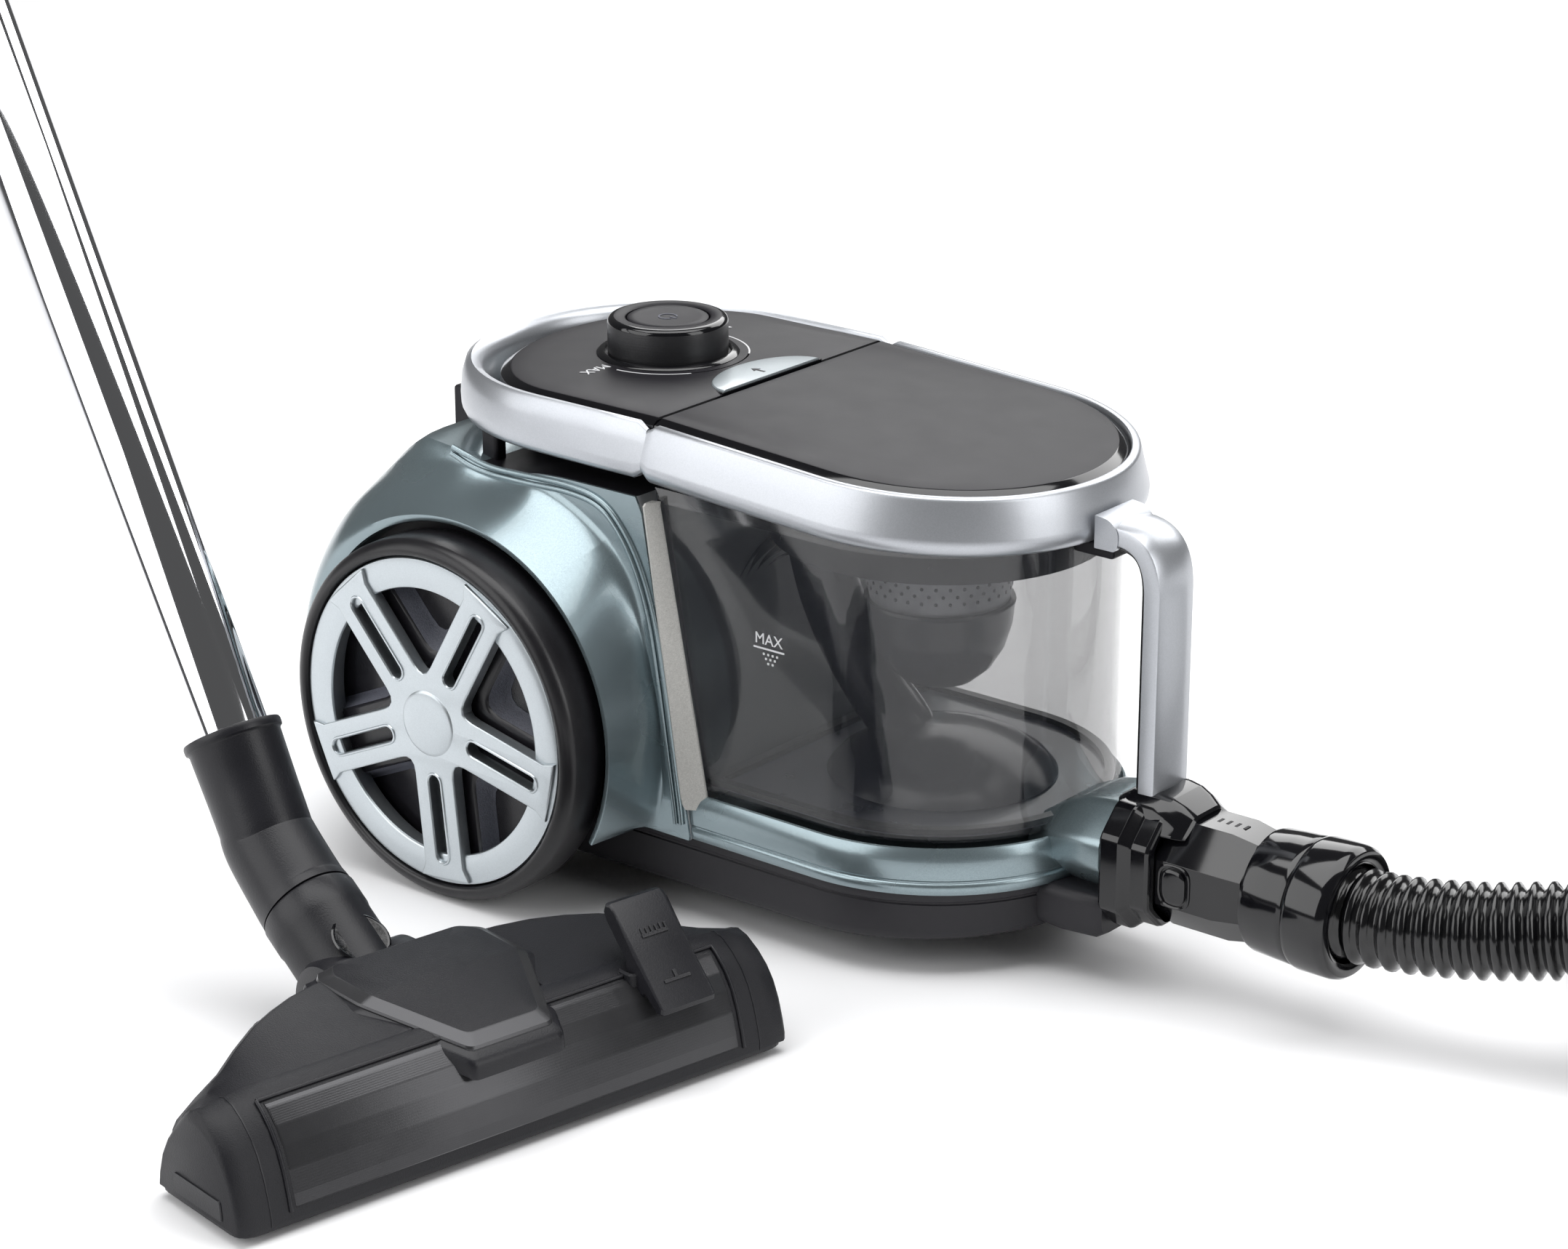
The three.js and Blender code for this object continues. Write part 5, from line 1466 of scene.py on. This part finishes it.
def nozzle_bar():
    stations = [(-NOZZLE_END, 0.16), (-NOZZLE_END + 0.7, 0.08), (-NOZZLE_END + 2.4, 0)]
    stations += [(u, 0) for u in (-134, -128, -122, -116.4, -110, -104, -97, -90, -60, -30, 0, 30, 60, 90, 97, 104,
                                  110, 116.4, 122, 128, 134)]
    stations += [(NOZZLE_END - 2.4, 0), (NOZZLE_END - 0.7, 0.08), (NOZZLE_END, 0.16)]
    bar = Shell().loft([bar_section(u, shrink) for u, shrink in stations])
    obj = piece("nozzle_body", bar, [NOZZLE_BLACK], "head", ["head_shell"], 44, at=NOZZLE)
    block_profile = [(-44, 5.6), (-44, 50), (-60, 52.6), (-84, 51), (-98, 44.6), (-103, 36), (-104, 6)]
    block = []
    for u, inset in ((-41, 2.4), (-40, 0.8), (-38, 0), (38, 0), (40, 0.8), (41, 2.4)):
        middle = Vector((-74, 0, 28))
        ring = []
        for n, z in block_profile:
            p = Vector((n, u, z))
            ring.append(p + (Vector((middle.x, u, middle.z)) - p).normalized() * inset)
        block.append(ring)
    arms = []
    for side in (-1, 1):
        outline = rounded([(-126, 16), (-58, 12), (-58, 40), (-92, 36), (-118, 34), (-126, 26)], 6, 4)
        arms.append(Shell().loft([
            [Vector((n, side * u, z)) for n, z in inset_outline(outline, trim)]
            for u, trim in ((44, 1.2), (45, 0), (57, 0), (58, 1.2))
        ]))
    wings = []
    for side in (-1, 1):
        wing = []
        for u, top, back in ((34, 56, -98), (48, 58, -93), (62, 59.4, -87), (76, 59.8, -80), (90, 59, -73),
                             (104, 56, -65), (116, 51, -59), (128, 45, -57), (138, 39, -55.4), (141, 36, -54)):
            front_top = 52.4 - 3 * ease(112, 141, u)
            wing.append([
                Vector((-34, side * u, 8)), Vector((-34, side * u, front_top)),
                Vector(((back - 34) / 2, side * u, (top + front_top) / 2 + 0.8)),
                Vector((back + 5, side * u, top)), Vector((back + 1.4, side * u, top - 2.4)),
                Vector((back, side * u, top - 8)), Vector((back + 1, side * u, 10)),
                Vector((back + 3, side * u, 6.4)),
            ])
        wings.append(Shell().loft(wing))
    piece("nozzle_shoulders", merge(Shell().loft(block), *arms, *wings), [NOZZLE_BLACK], "head", (),
          30, 1.2, at=NOZZLE)
    return obj


def inset_outline(outline, amount):
    middle = Vector((sum(p[0] for p in outline), sum(p[1] for p in outline))) / len(outline)
    points = []
    for p in outline:
        q = Vector(p)
        points.append(tuple(q + (middle - q).normalized() * amount))
    return points


def front_surface(t):
    """Point on the bar's front face: t runs from its lower edge to the ridge."""
    front = list(reversed(BAR))[1:9]
    at = t * (len(front) - 1)
    i = min(int(at), len(front) - 2)
    a, b = Vector(front[i]), Vector(front[i + 1])
    return a + (b - a) * (at - i)


def nozzle_front():
    """A long smooth strip with fine ribs along it, framed by a raised border."""
    ribs = []
    count = 84
    line = []
    for i in range(count + 1):
        p = front_surface(0.02 + 0.74 * i / count)
        ahead = (front_surface(min(1, 0.03 + 0.74 * i / count)) - p).normalized()
        out = Vector((ahead.y, -ahead.x))
        lift = 0.5 + (0.14 if i % 2 else 0.0)
        if i in (0, count):
            lift = -0.6
        line.append(p + out * lift)
    section = [(p.x, p.y) for p in line] + [(-22, 38), (-10, 12)]
    for u in (-115.4, -114.6, 114.6, 115.4):
        trim = 0.7 if abs(u) > 115 else 0
        ribs.append([Vector((x - trim, u, z)) for x, z in section])
    piece("ribbed_front_strip", Shell().loft(ribs), [NOZZLE_SHEEN], "head", ["head_front_strip"],
          48, at=NOZZLE)
    border = []
    path = [Vector((front_surface(0.8).x + 0.2, u, front_surface(0.8).y + 0.3)) for u in range(-118, 119, 4)]
    top = Shell().loft(sweep(path, [(0.9 * math.cos(a), 0.9 * math.sin(a)) for a in
                                    [2 * math.pi * k / 12 for k in range(12)]]))
    border.append(top)
    for side in (-1, 1):
        down = [Vector((front_surface(t / 12 * 0.8).x + 0.2, side * 118, front_surface(t / 12 * 0.8).y + 0.3))
                for t in range(13)]
        border.append(Shell().loft(sweep(down, [(0.9 * math.cos(a), 0.9 * math.sin(a)) for a in
                                                [2 * math.pi * k / 12 for k in range(12)]], Vector((0, 1, 0)))))
    piece("front_border", merge(*border), [NOZZLE_SMOOTH], "head", (), 60, at=NOZZLE)


def nozzle_sole():
    outline = rounded([(-64.6, -142), (-2, -142), (-2, 142), (-64.6, 142)], 8, 5)
    plate = Shell().loft([
        [Vector((x, y, z)) for x, y in inset_outline(outline, trim)]
        for z, trim in ((3, 1.6), (3.6, 0), (5.8, 0), (6.4, 1))
    ])
    sole = piece("sole_plate", plate, [NOZZLE_SMOOTH], "head", ["head_sole"], 34, at=NOZZLE)
    carve(sole, box_shell((-16, -127, 0), (-10, 127, 9)).moved(NOZZLE), NOZZLE_SMOOTH)
    tufts = []
    for k in range(62):
        u = -122 + 4 * k
        tufts.append(Shell().lathe([(0, 4.6), (1.7, 4.8), (1.3, 14), (0, 14)], 8,
                                   matrix=Matrix.Translation((-13, u, 0))))
    piece("bristle_row", merge(*tufts), [BRISTLE], "brush", ["brush_strip"], 60, at=NOZZLE)


COVER = [(-11, -21), (-11, 21), (-59, 43), (-91, 43), (-101, 37), (-101, -37), (-91, -43), (-59, -43)]


def cover_height(n):
    return table([(-114, 58), (-92, 60), (-59, 60.4), (-34, 56.4), (-11, 51.4), (0, 46)], n)


def nozzle_cover():
    """Six-sided cover with a bevelled border, on a lower step that reaches over the front strip."""
    def ring(grow, drop, corner=3):
        middle = Vector((-58, 0))
        spread = []
        for n, u in COVER:
            d = Vector((n, u)) - middle
            spread.append(tuple(middle + d * (1 + grow / 48)))
        points = []
        for n, u in rounded(spread, corner, 4):
            points.append(Vector((max(n, -98 + grow * 0.1), u, cover_height(n) - drop)))
        return points

    cover = [ring(0.6, 8), ring(0.8, 3.4), ring(0.2, 2.4), ring(-5, 0.2), ring(-5.8, -0.1), ring(-18, -0.5),
             ring(-36, -0.8, 2)]
    shell = Shell().loft(cover, kinds=[1, 1, 1, 1, 0, 0])
    piece("nozzle_cover", shell, [NOZZLE_BLACK, NOZZLE_SHEEN], "head", ["head_cover"], 20,
          at=NOZZLE)
    step = [ring(6.4, 12), ring(5.8, 6.4), ring(5, 5.2), ring(3.8, 4.6), ring(0.8, 4), ring(0, 8)]
    piece("cover_step", Shell().loft(step), [NOZZLE_SMOOTH], "head", (), 26, at=NOZZLE)


def pedal():
    outline = [(-3, 37.4), (-0.6, 38.4), (-0.4, 40.6), (-19, 60), (-35, 76.6), (-38, 78.2), (-41, 77.6), (-42, 75),
               (-40, 71), (-27, 56), (-26, 40), (-18, 40), (-12, 44)]
    rings = []
    for u, trim in ((72.2, 1.4), (73, 0.3), (74, 0), (100, 0), (101, 0.3), (101.8, 1.4)):
        rings.append([Vector((n, u, z)) for n, z in inset_outline(outline, trim)])
    body = Shell().loft(rings)
    piece("brush_pedal_cap", body, [NOZZLE_SMOOTH], "pedal", ["brush_pedal"], 34, at=NOZZLE)
    slope = math.atan2(60 - 40.6, 18.6)
    face = Matrix.Translation((-19.4, 87, 60.2)) @ Matrix.Rotation(slope, 4, "Y")
    marks = [box_shell((-8, -7, -0.6), (-6.4, 7, 0.9))]
    for k in range(6):
        marks.append(box_shell((-11 + 0.4 * (k % 2), -6.6 + 2.5 * k, -0.6), (-7, -5.7 + 2.5 * k, 0.9)))
    marks.append(box_shell((14.4, -7, -0.6), (15.8, 7, 0.9)))
    marks.append(box_shell((11, -0.8, -0.6), (15, 0.8, 0.9)))
    piece("pedal_marks", merge(*marks), [NOZZLE_SHEEN], "pedal", (), 34, 0.2, at=NOZZLE @ face)
    edge = rounded([(-46, 69), (-18, 69), (-18, 105), (-46, 105)], 4, 4)
    rim = Shell().loft([
        [Vector((n, u, z)) for n, u in line]
        for line, z in ((edge, 46), (edge, 51.4), (inset_outline(edge, 1.6), 52), (inset_outline(edge, 2.6), 46))
    ], loop=True)
    piece("pedal_well", rim, [NOZZLE_BLACK], "head", (), 34, at=NOZZLE)


def nozzle_ends():
    """Bumper on each end, with the seam of the end cap."""
    shells = []
    for side in (-1, 1):
        face = side * NOZZLE_END
        bumper = rounded([(-50, 8), (-13, 8), (-14, 17), (-49, 17)], 1.6, 4)
        shells.append(Shell().loft([
            [Vector((n, face + side * out, z)) for n, z in inset_outline(bumper, trim)]
            for out, trim in ((-2, 0), (0.3, 0), (0.7, 0.5), (0.7, 1.4))
        ]))
        seam = []
        for u in (face - side * 16, face - side * 15.4):
            ring = bar_section(u)
            middle = sum(ring, Vector()) / len(ring)
            seam.append([p + (p - middle).normalized() * 0.3 for p in ring])
        shells.append(Shell().loft(seam))
    piece("end_trims", merge(*shells), [NOZZLE_SMOOTH], "head", (), 30, at=NOZZLE)


def nozzle_wheels():
    for word, side in (("right", -1), ("left", 1)):
        at = NOZZLE @ Matrix.Translation((-112, side * 62, 13)) @ Matrix.Rotation(math.pi / 2, 4, "X")
        roller = Shell().lathe([
            (0, -4.4), (3, -4.6), (3.6, -5.4), (9, -5.5), (11.6, -5), (12.8, -3), (13, 0), (12.8, 3), (11.6, 5),
            (9, 5.5), (3.6, 5.4), (3, 4.6), (0, 4.4),
        ], 48, matrix=at)
        piece(word + "_nozzle_roller", roller, [RUBBER], word + "_roller", [word + "_head_wheel"], 40)


nozzle_bar()
nozzle_front()
nozzle_sole()
nozzle_cover()
pedal()
nozzle_ends()
nozzle_wheels()


# ---------------------------------------------------------------- swivel neck and tube
NECK_START = 56.4


def neck():
    barrel_at = NOZZLE @ Matrix.Translation((-116, 0, ELBOW.z)) @ Matrix.Rotation(math.pi / 2, 4, "X")
    barrel = Shell().lathe([
        (0, -26), (18, -26), (22.4, -25), (24, -22.6), (24, -9), (23.4, -8), (23.4, 8), (24, 9), (24, 22.6),
        (22.4, 25), (18, 26), (0, 26),
    ], 64, matrix=barrel_at)
    pipe = Shell().lathe([
        (0, 4), (21.6, 4), (22.4, 10), (22.4, 40), (22.9, 42), (22.9, 54.6), (22.2, 55.9), (0, 56),
    ], 64, matrix=ELBOW_FRAME)
    moon = Shell().lathe([(0, -0.4), (12, -0.4), (12.8, 0), (13.6, -0.4)], 40, matrix=ELBOW_FRAME
                         @ Matrix.Translation((21.2, 0, 20)) @ Matrix.Rotation(math.pi / 2, 4, "Y"))
    piece("swivel_elbow", merge(barrel, pipe), [NOZZLE_SMOOTH], "elbow", ["neck_elbow"], 34)
    piece("elbow_inlay", moon, [GLOSS], "elbow", (), 34)
    start = ELBOW_FRAME @ Vector((0, 0, NECK_START))
    bend = smooth_path([
        start, ELBOW_FRAME @ Vector((0, 0, NECK_START + 9)), TUBE @ Vector((0, 0, -54)),
        TUBE @ Vector((0, 0, -44)),
    ], 8)
    across = (TUBE @ Vector((0, 1, 0)) - TUBE @ Vector((0, 0, 0))).normalized()
    rings = []
    for i, p in enumerate(bend):
        ahead = (bend[min(i + 1, len(bend) - 1)] - bend[max(i - 1, 0)]).normalized()
        other = ahead.cross(across).normalized()
        r = 22.4 - 1.6 * i / (len(bend) - 1)
        rings.append([
            p + across * r * math.cos(2 * math.pi * k / 48) + other * r * math.sin(2 * math.pi * k / 48)
            for k in range(48)
        ])
    socket = Shell().lathe([
        (0, -46), (20.8, -46), (21, -30), (21.6, -5.4), (22, -4.6), (22.8, -4), (23, -3.2), (23, -1.2),
        (22.6, -0.2), (21.6, 0), (19, -0.4), (18.4, -2), (17.9, -8), (0, -8),
    ], 64, matrix=TUBE)
    piece("swivel_neck", merge(Shell().loft(rings), socket), [NOZZLE_SMOOTH], "tube", ["neck"], 34)


def tubes():
    length = 470
    lower = Shell().lathe([
        (16.4, -38), (17.5, -38), (17.5, length - 0.5), (17.2, length), (16.4, length),
    ], 96, matrix=TUBE, loop=True)
    piece("chrome_lower_tube", lower, [CHROME], "tube", ["lower_tube"], 40)
    collar = Shell().lathe([
        (17.8, length - 52), (19.6, length - 52), (20.6, length - 51), (21, length - 48), (21, length + 2),
        (20.6, length + 5), (19.6, length + 6), (17.8, length + 6),
    ], 64, matrix=TUBE, loop=True)
    button = []
    for out, half_y, half_z in ((19, 8, 13), (24, 8, 13), (25, 7, 12), (25.2, 5, 10)):
        outline = rounded([(-half_y, -half_z), (half_y, -half_z), (half_y, half_z), (-half_y, half_z)], 4, 5)
        button.append([TUBE @ Vector((out, y, length - 25 + z)) for y, z in outline])
    piece("tube_clamp", merge(collar, Shell().loft(button)), [SATIN], "tube", ["tube_collar"], 36)
    upper = Shell().lathe([
        (14.9, 120), (16, 120), (16, length + 69), (15.6, length + 70), (14.9, length + 70),
    ], 96, matrix=TUBE, loop=True)
    piece("chrome_upper_tube", upper, [CHROME], "inner_tube", ["upper_tube"], 40)


neck()
tubes()
